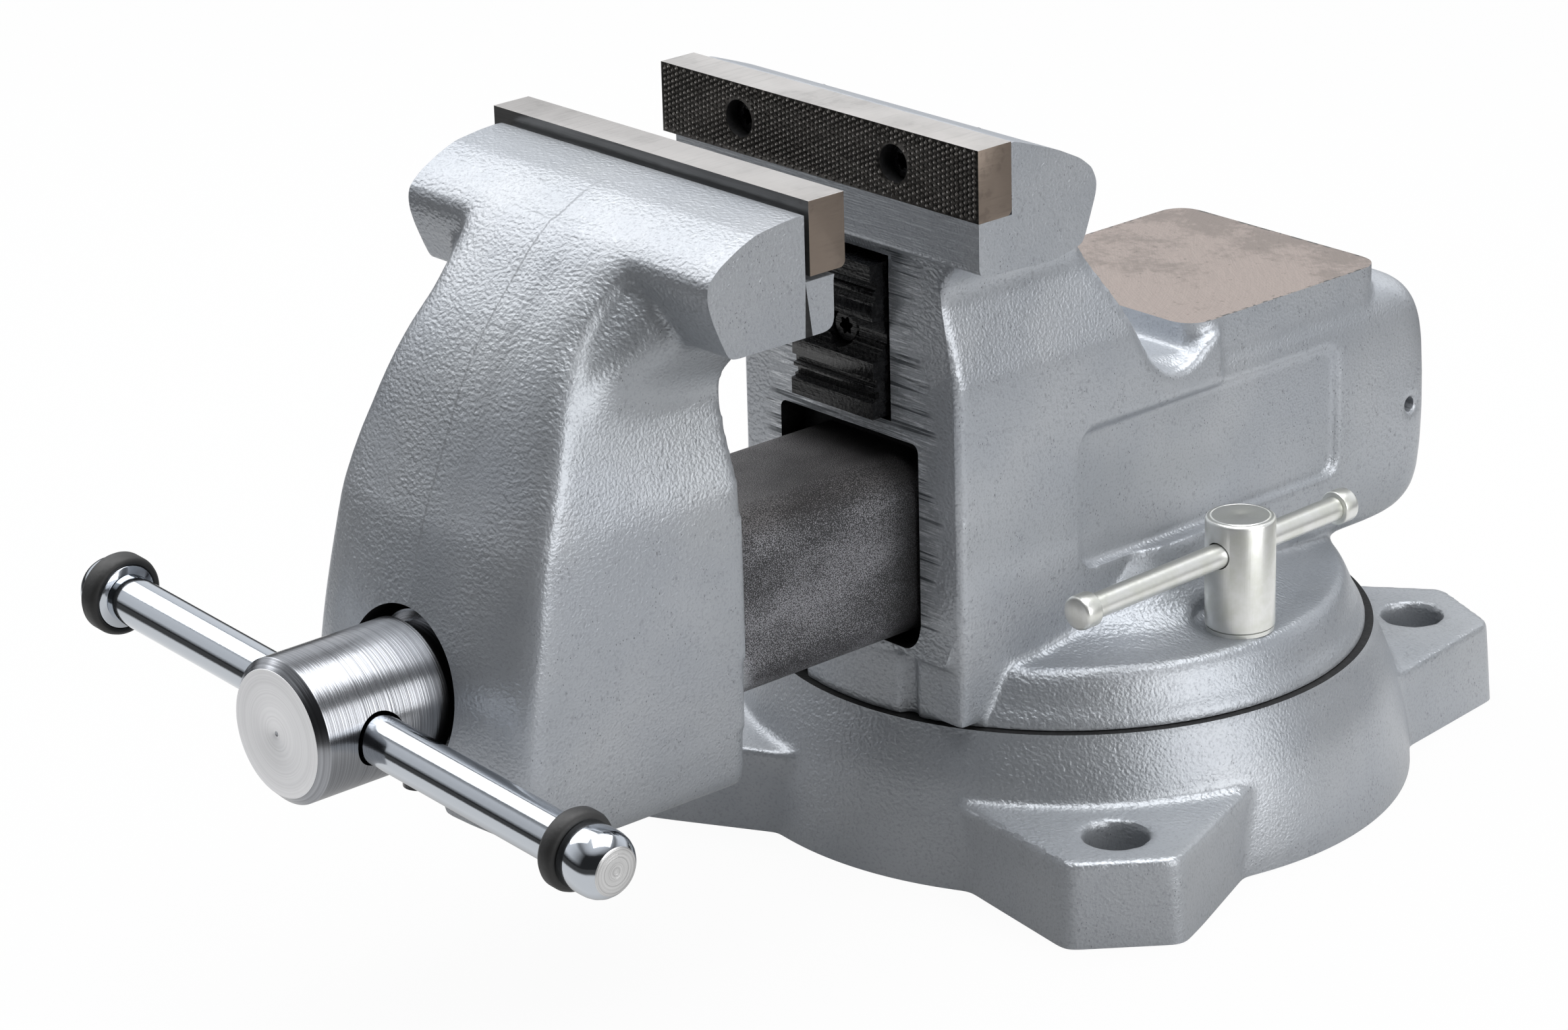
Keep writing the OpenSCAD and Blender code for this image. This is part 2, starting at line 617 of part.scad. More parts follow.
module body_cuts() {
    // grooves beside the apron
    both() translate([apron_half_width + bar_corner_radius / 4, -column_front_reach, base_height])
        cylinder(h = slide_axis_height - base_height, r = bar_corner_radius / 4);
    // jaw plate seat
    translate([-far / 2, rear_back - far, plate_low]) cube([far, far, far]);
    // slide passage and its cast mouth
    translate([0, passage_rear, slide_axis_height]) rotate([90, 0, 0]) linear_extrude(far)
        rounded_square(bar_half_width + bar_clearance, bar_corner_radius + bar_clearance);
    translate([0, -column_front_reach + opening_relief_depth, slide_axis_height]) rotate([90, 0, 0])
        linear_extrude(far) {
            rounded_square(bar_half_width + opening_relief, bar_corner_radius + opening_relief);
            translate([0, opening_top_rise])
                rounded_square(bar_half_width + opening_relief, bar_corner_radius);
        }
    // pipe jaw slot
    w = pipe_jaw_half_width + pipe_slot_clearance;
    translate([-w, -rear_pipe_seat_reach - far, pipe_jaw_low_height - pipe_slot_clearance])
        cube([w * 2, far, pipe_jaw_top_height - pipe_jaw_low_height + pipe_slot_clearance * 2]);
    along_y(pipe_screw_radius, -rear_pipe_seat_reach - pipe_screw_length, -rear_pipe_seat_reach
        + pipe_screw_length - pipe_screw_head_height, (pipe_jaw_low_height + pipe_jaw_top_height) / 2);
    // plate screw holes
    for (s = [-1, 1]) translate([s * plate_screw_spacing / 2, 0, 0])
        along_y(plate_screw_radius, rear_back - plate_thickness, rear_face + plate_screw_recess
            + plate_screw_head_height + plate_screw_length, plate_mid);
    // seat of the nut and its spring pin
    along_y(nut_radius, 0, far);
    translate([0, pin_rear, slide_axis_height]) rotate([0, 90, 0]) cylinder(h = far, r = pin_radius);
    // lock bolts
    both() translate([tslot_radius, 0, flange_top_height]) cylinder(h = far, r = lock_pad_radius);
    both() translate([tslot_radius, 0, 0]) cylinder(h = far, r = lock_shank_radius * 1.1);
    both() panel_cut();
}

module front_jaw() {
    color(cast_paint) difference() {
        union() {
            skin([for (row = refined(arm_rows_shares, 2)) arm_plan(arm_row(row))]);
            head_extrude(front_head_side_shares, front_back);
            side_extrude([for (p = keel_side_shares)
                [-arm_back_reach - p[0] * arm_depth, arm_foot + p[1] * bar_half_width]], keel_half_width);
        }
        // jaw plate seat, set back a little behind the plate's top
        translate([-far / 2, front_back, plate_low]) cube([far, far, far]);
        translate([-far / 2, front_back - plate_thickness / 6, jaw_top_height - plate_height / 4])
            cube([far, far, far]);
        // recess of the spindle head and bore of its journal
        along_y(recess_radius, -far, -head_back_reach + washer_thickness);
        along_y(journal_radius + journal_clearance, -far, 0);
        // pipe jaw slot
        w = pipe_jaw_half_width + pipe_slot_clearance;
        translate([-w, -front_pipe_seat_reach, pipe_jaw_low_height - pipe_slot_clearance])
            cube([w * 2, far, pipe_jaw_top_height - pipe_jaw_low_height + pipe_slot_clearance * 2]);
        along_y(pipe_screw_radius, -front_pipe_seat_reach - pipe_screw_length + pipe_screw_head_height,
            -arm_back_reach, (pipe_jaw_low_height + pipe_jaw_top_height) / 2);
        // plate screw holes
        for (s = [-1, 1]) translate([s * plate_screw_spacing / 2, 0, 0])
            along_y(plate_screw_radius, front_face - plate_screw_recess - plate_screw_head_height
                - plate_screw_length, front_face, plate_mid);
        // keeper screw hole
        translate([0, -keeper_reach, 0]) cylinder(h = slide_axis_height, r = keeper_thread_radius);
        translate([0, -keeper_reach, 0])
            cylinder(h = slide_axis_height - recess_radius - keeper_sink,
                r = keeper_head_radius * 1.3);
    }
}

module slide_bar() {
    color(dark_steel) difference() {
        translate([0, bar_rear, slide_axis_height]) rotate([90, 0, 0])
            linear_extrude(bar_rear + arm_back_reach) rounded_square(bar_half_width, bar_corner_radius);
        along_y(bar_hollow_radius, -arm_back_reach + bar_corner_radius, far);
        along_y(journal_radius + journal_clearance, -far, 0);
    }
}

module jaw_plate() {
    difference() {
        translate([-jaw_width / 2, 0, -plate_height / 2]) cube([jaw_width, plate_thickness, plate_height]);
        for (s = [-1, 1]) translate([s * plate_screw_spacing / 2, 0, 0]) {
            along_y(plate_screw_radius * 1.08, -plate_thickness, far, 0);
            along_y(plate_screw_head_radius * 1.06, -plate_thickness, plate_screw_recess
                + plate_screw_head_height, 0);
        }
    }
}

module rear_jaw_plate() {
    color(ground_steel) translate([0, rear_face, plate_mid]) jaw_plate();
}

module front_jaw_plate() {
    color(ground_steel) translate([0, front_face, plate_mid]) mirror([0, 1, 0]) jaw_plate();
}

// socket screw along +Y, head underside at the origin
module socket_screw(shank, head, tall, long, across) {
    difference() {
        union() {
            along_y(head, -tall, 0, 0);
            along_y(shank, 0, long, 0);
        }
        translate([0, -tall + socket_depth, 0]) rotate([90, 0, 0])
            cylinder(h = tall, r = across / sqrt(3), $fn = 6);
    }
}

module plate_screws() {
    for (s = [-1, 1])
        translate([s * plate_screw_spacing / 2, plate_screw_recess + plate_screw_head_height, 0])
            socket_screw(plate_screw_radius, plate_screw_head_radius, plate_screw_head_height,
                plate_screw_length, socket_across);
}

module rear_plate_screws() {
    color(black_oxide) translate([0, rear_face, plate_mid]) plate_screws();
}

module front_plate_screws() {
    color(black_oxide) translate([0, front_face, plate_mid]) mirror([0, 1, 0]) plate_screws();
}

// toothed block facing -Y, its valley in the middle
module pipe_jaw(seat, peak) {
    mid = (pipe_jaw_low_height + pipe_jaw_top_height) / 2;
    half = (pipe_jaw_top_height - pipe_jaw_low_height) / 2;
    up = [for (p = jaw_step_shares) [-peak + pipe_valley_depth * (1 - p[1]), p[0] * half]];
    difference() {
        translate([0, 0, mid]) rotate([90, 0, 90]) translate([0, 0, -pipe_jaw_half_width])
            linear_extrude(pipe_jaw_half_width * 2) polygon(concat([[-seat, -half]],
                [for (i = [len(up) - 1 : -1 : 1]) [up[i][0], -up[i][1]]], up, [[-seat, half]]));
        along_y(pipe_screw_radius * 1.1, -far, 0, mid);
        along_y(pipe_screw_head_radius * 1.12, -far, -peak + pipe_valley_depth + pipe_screw_head_height, mid);
    }
}

module rear_pipe_jaw() {
    color(black_oxide) pipe_jaw(rear_pipe_seat_reach, rear_pipe_peak_reach);
}

module front_pipe_jaw() {
    color(black_oxide) mirror([0, 1, 0]) translate([0, front_pipe_peak_reach * 2, 0])
        pipe_jaw(front_pipe_peak_reach * 2 - front_pipe_seat_reach, front_pipe_peak_reach);
}

module rear_pipe_screw() {
    color(black_oxide) translate([0, -rear_pipe_peak_reach + pipe_valley_depth + pipe_screw_head_height,
        (pipe_jaw_low_height + pipe_jaw_top_height) / 2])
        socket_screw(pipe_screw_radius, pipe_screw_head_radius, pipe_screw_head_height, pipe_screw_length,
            socket_across);
}

module front_pipe_screw() {
    color(black_oxide) translate([0, -front_pipe_peak_reach - pipe_valley_depth - pipe_screw_head_height,
        (pipe_jaw_low_height + pipe_jaw_top_height) / 2]) mirror([0, 1, 0])
        socket_screw(pipe_screw_radius, pipe_screw_head_radius, pipe_screw_head_height, pipe_screw_length,
            socket_across);
}

// thread drawn as rings, crest radius and root radius
function ring_points(start, stop, crest, root) = let(n = floor((stop - start) / thread_pitch)) concat(
    [[0, start], [root, start]],
    [for (i = [0 : n - 1]) for (q = [[root, 0.02], [crest, 0.32], [crest, 0.68], [root, 0.98]])
        [q[0], start + (i + q[1]) * thread_pitch]],
    [[root, stop], [0, stop]]);

module spindle() {
    color(bright_steel) difference() {
        union() {
            along_y(head_radius, -head_face_reach + head_chamfer, -keeper_reach - keeper_groove_half_width);
            along_y(head_radius, -keeper_reach + keeper_groove_half_width, -head_back_reach);
            along_y(head_radius - keeper_groove_depth, -head_face_reach + head_chamfer, -head_back_reach);
            translate([0, -head_face_reach + head_chamfer, slide_axis_height]) rotate([90, 0, 0])
                cylinder(h = head_chamfer, r1 = head_radius, r2 = head_radius - head_chamfer);
            along_y(journal_radius, -head_back_reach, -screw_front_reach);
            translate([0, 0, slide_axis_height]) rotate([-90, 0, 0]) rotate_extrude() polygon(
                ring_points(-screw_front_reach, screw_rear, screw_radius, screw_radius - thread_depth));
        }
        translate([0, -handle_reach, slide_axis_height]) rotate([0, 90 + handle_tilt, 0])
            cylinder(h = far, r = handle_bore_radius, center = true);
    }
}

module thrust_washer() {
    color(bronze) difference() {
        along_y(washer_radius, -head_back_reach, -head_back_reach + washer_thickness);
        along_y(journal_radius + pin_radius / 4, -far, 0);
    }
}

module keeper_screw() {
    low = slide_axis_height - recess_radius - keeper_sink;
    color(black_oxide) translate([0, -keeper_reach, 0]) difference() {
        union() {
            translate([0, 0, low - keeper_head_height])
                cylinder(h = keeper_head_height, r = keeper_head_radius);
            translate([0, 0, low]) cylinder(h = keeper_sink, r = keeper_thread_radius);
            translate([0, 0, low])
                cylinder(h = slide_axis_height - head_radius + keeper_groove_depth * 0.8 - low,
                    r = keeper_tip_radius);
        }
        translate([0, 0, low - keeper_head_height * 2]) cylinder(h = keeper_head_height * 1.5,
            r = socket_across / sqrt(3), $fn = 6);
    }
}

module spindle_nut() {
    color(dark_steel) difference() {
        along_y(nut_radius, -nut_front_reach, housing_rear - panel_depth);
        along_y(screw_radius + nut_clearance, -far, 0);
        along_y(nut_hollow_radius, -nut_front_reach + nut_threaded_length, far);
        translate([0, pin_rear, slide_axis_height]) rotate([0, 90, 0]) cylinder(h = far, r = pin_radius);
    }
}

module nut_pin() {
    color(dark_steel) translate([0, pin_rear, slide_axis_height]) rotate([0, 90, 0]) difference() {
        translate([0, 0, pin_inner_half_width]) cylinder(h = pin_outer_half_width - pin_inner_half_width,
            r = pin_radius);
        cylinder(h = far, r = pin_hollow_radius);
    }
}

// places a child drawn along +Z onto the handle axis
module on_handle() {
    translate([0, -handle_reach, slide_axis_height]) rotate([0, 90 + handle_tilt, 0]) children();
}

module handle_bar() {
    low = -far_knob_end + knob_length;
    color(bright_steel) on_handle() translate([0, 0, low])
        cylinder(h = knob_end - knob_length - low, r = handle_radius);
}

// outline of a knob, radius in knob radii and length in knob lengths from its inner face
knob_shares = [
    [0, 0], [1, 0], [1, 0.52], [0.98, 0.65], [0.925, 0.785], [0.835, 0.897], [0.745, 0.968],
    [0.69, 1], [0, 1]
];
module knob() {
    rotate_extrude() polygon([for (p = knob_shares) [p[0] * knob_radius, p[1] * knob_length]]);
}

module near_knob() {
    color(bright_steel) on_handle() translate([0, 0, knob_end - knob_length]) knob();
}

module far_knob() {
    color(bright_steel) on_handle() translate([0, 0, -far_knob_end + knob_length]) mirror([0, 0, 1]) knob();
}

module bumper_ring(thick, outer, bore) {
    difference() {
        union() {
            translate([0, 0, thick * 0.12]) cylinder(h = thick * 0.76, r = outer);
            cylinder(h = thick, r = outer - thick * 0.12);
        }
        translate([0, 0, -thick]) cylinder(h = thick * 3, r = bore);
    }
}

module near_ring() {
    color(black_rubber) on_handle() translate([0, 0, knob_end - knob_length - ring_thickness])
        bumper_ring(ring_thickness, ring_radius, handle_radius);
}

module far_ring() {
    color(black_rubber) on_handle() translate([0, 0, knob_length - far_knob_end - far_ring_thickness])
        bumper_ring(far_ring_thickness, far_ring_radius, knob_radius);
}

module lock_bolt() {
    foot = flange_top_height + lock_washer_thickness;
    shank_low = tslot_lip_height - tnut_gap - tnut_height;
    translate([tslot_radius, 0, 0]) difference() {
        union() {
            translate([0, 0, foot]) cylinder(h = lock_top_height - lock_chamfer - foot, r = lock_head_radius);
            translate([0, 0, lock_top_height - lock_chamfer])
                cylinder(h = lock_chamfer, r1 = lock_head_radius, r2 = lock_head_radius - lock_chamfer);
            translate([0, 0, shank_low]) cylinder(h = foot - shank_low, r = lock_shank_radius);
        }
        translate([0, 0, lock_bar_height]) rotate([90, 0, lock_bar_yaw])
            cylinder(h = far, r = lock_bar_bore_radius, center = true);
    }
}

module lock_bolt_right() {
    color(zinc) lock_bolt();
}

module lock_bolt_left() {
    color(zinc) mirror([1, 0, 0]) lock_bolt();
}

module lock_bar() {
    translate([tslot_radius, 0, lock_bar_height]) rotate([90, 0, lock_bar_yaw])
        translate([0, 0, -lock_bar_rear_reach]) cylinder(h = lock_bar_front_reach + lock_bar_rear_reach,
            r = lock_bar_radius);
}

module lock_bar_right() {
    color(zinc) lock_bar();
}

module lock_bar_left() {
    color(zinc) mirror([1, 0, 0]) lock_bar();
}

module lock_cap() {
    rounding = cap_length / 6;
    cylinder(h = cap_length - rounding, r = cap_radius);
    translate([0, 0, cap_length - rounding])
        cylinder(h = rounding, r1 = cap_radius, r2 = cap_radius - rounding);
}

module lock_caps() {
    translate([tslot_radius, 0, lock_bar_height]) rotate([90, 0, lock_bar_yaw]) {
        translate([0, 0, lock_bar_front_reach]) lock_cap();
        translate([0, 0, -lock_bar_rear_reach]) mirror([0, 0, 1]) lock_cap();
    }
}

module lock_caps_right() {
    color(zinc) lock_caps();
}

module lock_caps_left() {
    color(zinc) mirror([1, 0, 0]) lock_caps();
}

module lock_washer() {
    translate([tslot_radius, 0, flange_top_height]) difference() {
        cylinder(h = lock_washer_thickness, r = lock_washer_radius);
        translate([0, 0, -lock_washer_thickness]) cylinder(h = lock_washer_thickness * 3,
            r = lock_shank_radius * 1.06);
    }
}

module lock_washer_right() {
    color(zinc) lock_washer();
}

module lock_washer_left() {
    color(zinc) mirror([1, 0, 0]) lock_washer();
}

module t_nut() {
    w = tnut_half_width * 2;
    translate([tslot_radius, 0, tslot_lip_height - tnut_gap - tnut_height]) difference() {
        translate([-w / 2, -w / 2, 0]) cube([w, w, tnut_height]);
        translate([0, 0, -tnut_height])
            cylinder(h = tnut_height * 3, r = lock_shank_radius + lock_shank_clearance);
    }
}

module t_nut_right() {
    color(dark_steel) t_nut();
}

module t_nut_left() {
    color(dark_steel) mirror([1, 0, 0]) t_nut();
}

base();
body();
front_jaw();
slide_bar();
rear_jaw_plate();
front_jaw_plate();
rear_plate_screws();
front_plate_screws();
rear_pipe_jaw();
front_pipe_jaw();
rear_pipe_screw();
front_pipe_screw();
spindle();
thrust_washer();
keeper_screw();
spindle_nut();
nut_pin();
handle_bar();
near_knob();
far_knob();
near_ring();
far_ring();
lock_bolt_right();
lock_bolt_left();
lock_bar_right();
lock_bar_left();
lock_caps_right();
lock_caps_left();
lock_washer_right();
lock_washer_left();
t_nut_right();
t_nut_left();
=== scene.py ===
import json
import math
from contextlib import contextmanager
import bmesh
import bpy
import numpy as np
from mathutils import Matrix, Vector


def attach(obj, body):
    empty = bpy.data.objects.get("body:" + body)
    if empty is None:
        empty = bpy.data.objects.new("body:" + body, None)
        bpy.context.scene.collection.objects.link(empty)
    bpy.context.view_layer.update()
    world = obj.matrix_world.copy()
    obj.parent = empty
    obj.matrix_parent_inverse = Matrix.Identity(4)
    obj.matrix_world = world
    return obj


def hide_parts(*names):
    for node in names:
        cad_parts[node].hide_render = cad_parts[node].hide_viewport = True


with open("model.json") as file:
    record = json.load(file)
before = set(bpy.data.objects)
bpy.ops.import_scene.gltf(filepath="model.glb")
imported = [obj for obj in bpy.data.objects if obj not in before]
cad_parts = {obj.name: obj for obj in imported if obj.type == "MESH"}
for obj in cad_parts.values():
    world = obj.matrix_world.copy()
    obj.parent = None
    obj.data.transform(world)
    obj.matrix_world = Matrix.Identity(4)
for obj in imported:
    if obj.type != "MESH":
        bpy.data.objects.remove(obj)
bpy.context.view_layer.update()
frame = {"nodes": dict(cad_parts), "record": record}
nodes = frame["nodes"]
MM = 0.001

# places on the vise in millimetres, and two angles
SPINDLE_Z = 93.8
HANDLE_Y = -266.2
HANDLE_TILT = math.radians(4.05)
LOCK_X, LOCK_BAR_Z = 69.5, 84.25
LOCK_YAW = math.radians(2.07)
PIN_Y = 102
COLUMN_FRONT = -85
BASE_TOP, FLANGE_FOOT = 44.2, 44.5
ANVIL_TOP = 140.5
JAW_HALF, HEAD_FAR = 63.5, -58
PLATE_LOW, PLATE_MIDDLE, JAW_TOP = 199.9, 209.95, 220
REAR_FACE, FRONT_FACE = -95.4, -142.1
PLATE_SCREW_X = 31
PIPE_SLOT_LOW, PIPE_SLOT_TOP, PIPE_MIDDLE = 130.9, 178.8, 154.75
FRONT_SEAT = -154.75
BEYOND = 80  # past either end of the heads, for cutters


# small mesh helpers, with lengths in millimetres
def in_scene(name, data):
    ob = bpy.data.objects.new(name, data)
    bpy.context.scene.collection.objects.link(ob)
    return ob


@contextmanager
def editing(me):
    """Opens a mesh for editing and writes it back."""
    bm = bmesh.new()
    bm.from_mesh(me)
    yield bm
    bm.to_mesh(me)
    bm.free()


def fix_normals(me):
    with editing(me) as bm:
        bmesh.ops.recalc_face_normals(bm, faces=bm.faces)


def mesh_object(name, verts, faces):
    me = bpy.data.meshes.new(name)
    me.from_pydata([tuple(c * MM for c in v) for v in verts], [], faces)
    me.validate()
    fix_normals(me)
    return in_scene(name, me)


def prism(name, outline, axis, start, stop):
    """A closed prism. The outline lies across the axis, in the order of the other two axes."""
    k = "xyz".index(axis)
    n = len(outline)
    verts = [(*p[:k], h, *p[k:]) for h in (start, stop) for p in outline]
    faces = [list(range(n))[::-1], list(range(n, 2 * n))]
    faces += [[i, (i + 1) % n, n + (i + 1) % n, n + i] for i in range(n)]
    return mesh_object(name, verts, faces)


def circle(cx, cy, r, count=64):
    return [(cx + r * math.cos(a), cy + r * math.sin(a))
            for a in (2 * math.pi * i / count for i in range(count))]


def rounded(cx, cy, hx, hy, r, steps=8):
    """A rectangle of half widths hx and hy with round corners."""
    out = []
    for sx, sy, turn in ((1, 1, 0), (-1, 1, 90), (-1, -1, 180), (1, -1, 270)):
        for i in range(steps + 1):
            a = math.radians(turn + 90 * i / steps)
            out.append((cx + sx * (hx - r) + r * math.cos(a), cy + sy * (hy - r) + r * math.sin(a)))
    return out


# cutters and fillers, which carve and cast use up
def tool(outline, axis, start, stop):
    return prism("tool", outline, axis, start, stop)


def rod(axis, at, r, start, stop, count=64):
    return tool(circle(*at, r, count), axis, start, stop)


def block(x, y, z):
    return tool([(x[0], y[0]), (x[1], y[0]), (x[1], y[1]), (x[0], y[1])], "z", *z)


def spin(name, profile, count):
    """A solid of revolution about Z from radius and height pairs.

    The pairs start and end on the axis, or come back to the first pair."""
    closed = profile[0] == profile[-1]
    verts, faces, rows = [], [], []
    for r, z in profile[:-1] if closed else profile:
        ring = [(0, 0)] if r == 0 else circle(0, 0, r, count)
        rows.append(list(range(len(verts), len(verts) + len(ring))))
        verts += [(x, y, z) for x, y in ring]
    if closed:
        rows.append(rows[0])
    for a, b in zip(rows, rows[1:]):
        for i in range(count):
            j = (i + 1) % count
            if len(a) == 1:
                faces.append([a[0], b[i], b[j]])
            elif len(b) == 1:
                faces.append([a[i], a[j], b[0]])
            else:
                faces.append([a[i], a[j], b[j], b[i]])
    return mesh_object(name, verts, faces)


def applied(ob):
    """Works an object's modifiers into its mesh."""
    dg = bpy.context.evaluated_depsgraph_get()
    me = bpy.data.meshes.new_from_object(ob.evaluated_get(dg))
    old = ob.data
    ob.modifiers.clear()
    ob.data = me
    bpy.data.meshes.remove(old)
    return ob


def drop(*obs):
    for o in obs:
        me = o.data
        bpy.data.objects.remove(o)
        bpy.data.meshes.remove(me)


def merged(name, obs):
    """One object holding the meshes of several, which are dropped."""
    bm = bmesh.new()
    for o in obs:
        bm.from_mesh(o.data)
    me = bpy.data.meshes.new(name)
    bm.to_mesh(me)
    bm.free()
    drop(*obs)
    return in_scene(name, me)


def cad_copy(node):
    """A copy of a CAD node's mesh with its loose triangles joined."""
    me = nodes[node].data.copy()
    with editing(me) as bm:
        bmesh.ops.remove_doubles(bm, verts=bm.verts, dist=2e-6)
    me.materials.clear()
    return in_scene("solid", me)


def carve(ob, *cutters):
    for c in cutters:
        m = ob.modifiers.new("cut", "BOOLEAN")
        m.operation = "DIFFERENCE"
        m.object = c
        m.solver = "MANIFOLD"
        applied(ob)
        drop(c)
    return ob


def without_slivers(ob):
    """Drops pairs of faces that lie on each other, which a cut along a flat can leave."""
    with editing(ob.data) as bm:
        bmesh.ops.triangulate(bm, faces=bm.faces)
        bmesh.ops.remove_doubles(bm, verts=bm.verts, dist=1e-6)
        seen = {}
        for f in bm.faces:
            seen.setdefault(frozenset(v.index for v in f.verts), []).append(f)
        doubled = [f for same in seen.values() if len(same) > 1 for f in same]
        bmesh.ops.delete(bm, geom=doubled, context="FACES")
    return ob


def soften(ob, times, held=None):
    """Laplacian smoothing. held gives 0 to 1 for how far each vertex may move."""
    me = ob.data
    n = len(me.vertices)
    co = np.empty(n * 3)
    me.vertices.foreach_get("co", co)
    co = co.reshape(-1, 3)
    ends = np.empty(len(me.edges) * 2, np.int32)
    me.edges.foreach_get("vertices", ends)
    a, b = ends.reshape(-1, 2).T
    neighbours = np.bincount(ends, minlength=n).astype(float)[:, None]
    free = np.ones(n) if held is None else held(co)
    for _ in range(times):
        total = np.empty_like(co)
        for k in range(3):
            total[:, k] = (np.bincount(a, weights=co[b, k], minlength=n)
                           + np.bincount(b, weights=co[a, k], minlength=n))
        co += (total / neighbours - co) * (0.5 * free)[:, None]
    me.vertices.foreach_set("co", co.ravel())
    me.update()


def lowered(ob, level, to, keep_radius=0.0):
    """Moves a flat underside or top away, so that a later cut leaves its edge crisp."""
    for v in ob.data.vertices:
        if abs(v.co.z / MM - level) < 0.4 and math.hypot(v.co.x, v.co.y) / MM > keep_radius:
            v.co.z = to * MM
    return ob


def cast(name, solid, fillers, voxel, times, held=None):
    """A casting: a solid with its machined places filled in, rounded like a sand casting."""
    ob = merged(name, [solid] + fillers)
    m = ob.modifiers.new("remesh", "REMESH")
    m.mode = "VOXEL"
    m.voxel_size = voxel * 1.0 * MM
    applied(ob)
    soften(ob, max(2, int(times / (1))), held)
    ob.data.shade_smooth()
    return ob


def crisp(ob, degrees=38):
    """Smooth shading but for edges sharper than this."""
    ob.data.shade_smooth()
    ob.data.set_sharp_from_angle(angle=math.radians(degrees))
    return ob


def finish_piece(ob, node, body, mat):
    ob.data.materials.clear()
    ob.data.materials.append(mat)
    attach(ob, body)
    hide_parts(node)


def face_material(ob, mat, test):
    """Adds a material for the faces whose middle, in millimetres, passes the test."""
    ob.data.materials.append(mat)
    k = len(ob.data.materials) - 1
    for p in ob.data.polygons:
        if test(p.center / MM, p.normal):
            p.material_index = k


# node trees
class Value:
    """A number that a node gives, so that node maths is written as arithmetic."""

    def __init__(self, tree, socket):
        self.tree, self.socket = tree, socket

    def __add__(self, other):
        return self.tree.math("ADD", self, other)

    def __radd__(self, other):
        return self.tree.math("ADD", other, self)

    def __sub__(self, other):
        return self.tree.math("SUBTRACT", self, other)

    def __rsub__(self, other):
        return self.tree.math("SUBTRACT", other, self)

    def __mul__(self, other):
        return self.tree.math("MULTIPLY", self, other)

    def __truediv__(self, other):
        return self.tree.math("DIVIDE", self, other)

    def __abs__(self):
        return self.tree.math("ABSOLUTE", self)


class Tree:
    """A node tree under construction."""

    def __init__(self, tree):
        self.t = tree

    def feed(self, socket, value):
        if isinstance(value, Value):
            value = value.socket
        if isinstance(value, bpy.types.NodeSocket):
            self.t.links.new(value, socket)
        elif socket.type == "RGBA":
            socket.default_value = (*value, 1)
        else:
            socket.default_value = value

    def add(self, kind, inputs=None, **settings):
        """A new node with its settings, and its inputs by name or number."""
        n = self.t.nodes.new(kind)
        for key, value in settings.items():
            setattr(n, key, value)
        for key, value in (inputs or {}).items():
            self.feed(n.inputs[key], value)
        return n

    def math(self, op, a, b=0.0, c=0.0, clamp=False):
        n = self.add("ShaderNodeMath", {0: a, 1: b, 2: c}, operation=op, use_clamp=clamp)
        return Value(self, n.outputs[0])

    def length(self, a, b):
        return self.math("SQRT", a * a + b * b)

    def point(self, x, y=0.0, z=0.0):
        return self.add("ShaderNodeCombineXYZ", {0: x, 1: y, 2: z}).outputs[0]

    def axes(self, vector):
        return [Value(self, o) for o in self.add("ShaderNodeSeparateXYZ", {0: vector}).outputs]

    def mix(self, fac, a, b):
        return self.add("ShaderNodeMix", {"Factor": fac, 6: a, 7: b}, data_type="RGBA").outputs[2]

    def ramp(self, value, stops):
        """Colours by value, from pairs of place and colour."""
        n = self.add("ShaderNodeValToRGB", {0: value})
        marks = n.color_ramp.elements
        while len(marks) < len(stops):
            marks.new(0.5)
        for m, (at, colour) in zip(marks, stops):
            m.position = at
            m.color = (*colour, 1)
        return n.outputs[0]


class Shade(Tree):
    """A material whose patterns lie in the piece's own coordinates."""

    SOCKETS = {"color": "Base Color", "rough": "Roughness", "metal": "Metallic"}

    def __init__(self, name):
        self.m = bpy.data.materials.new(name)
        self.m.use_nodes = True
        super().__init__(self.m.node_tree)
        self.p = self.t.nodes["Principled BSDF"]
        self.own = self.add("ShaderNodeTexCoord")
        self.pos = self.own.outputs["Object"]
        self.relief = None

    def facing(self):
        """Which way the surface faces, in the piece's own axes."""
        return self.axes(self.own.outputs["Normal"])

    def stretched(self, stretch, turn=(0, 0, 0)):
        return self.add("ShaderNodeMapping", {"Vector": self.pos, "Scale": stretch,
                                              "Rotation": turn}).outputs[0]

    def noise(self, scale, detail=2.0, rough=0.5, pos=None, stretch=None, warp=0.0):
        pos = self.stretched(stretch) if stretch else pos or self.pos
        n = self.add("ShaderNodeTexNoise", {"Vector": pos, "Scale": scale, "Detail": detail,
                                            "Roughness": rough, "Distortion": warp})
        return Value(self, n.outputs["Fac"])

    def cells(self, scale):
        """Distance to the nearest of scattered spots, which are drawn out upwards."""
        pos = self.stretched((1, 1, 0.6))
        n = self.add("ShaderNodeTexVoronoi", {"Vector": pos, "Scale": scale})
        return Value(self, n.outputs["Distance"])

    def step(self, value, low, high):
        """A smooth rise from 0 to 1 between two values, or a fall where the first is higher."""
        n = self.add("ShaderNodeMapRange", {"Value": value, "From Min": low, "From Max": high},
                     interpolation_type="SMOOTHSTEP")
        return Value(self, n.outputs[0])

    def bump(self, height, distance, strength):
        """Relief on top of the relief so far."""
        n = self.add("ShaderNodeBump", {"Strength": strength, "Distance": distance,
                                        "Height": height})
        if self.relief is not None:
            self.feed(n.inputs["Normal"], self.relief)
        self.relief = n.outputs[0]
        self.feed(self.p.inputs["Normal"], self.relief)

    def set(self, **values):
        for key, value in values.items():
            self.feed(self.p.inputs[self.SOCKETS[key]], value)


def shaded(colour, k):
    return tuple(c * k for c in colour)


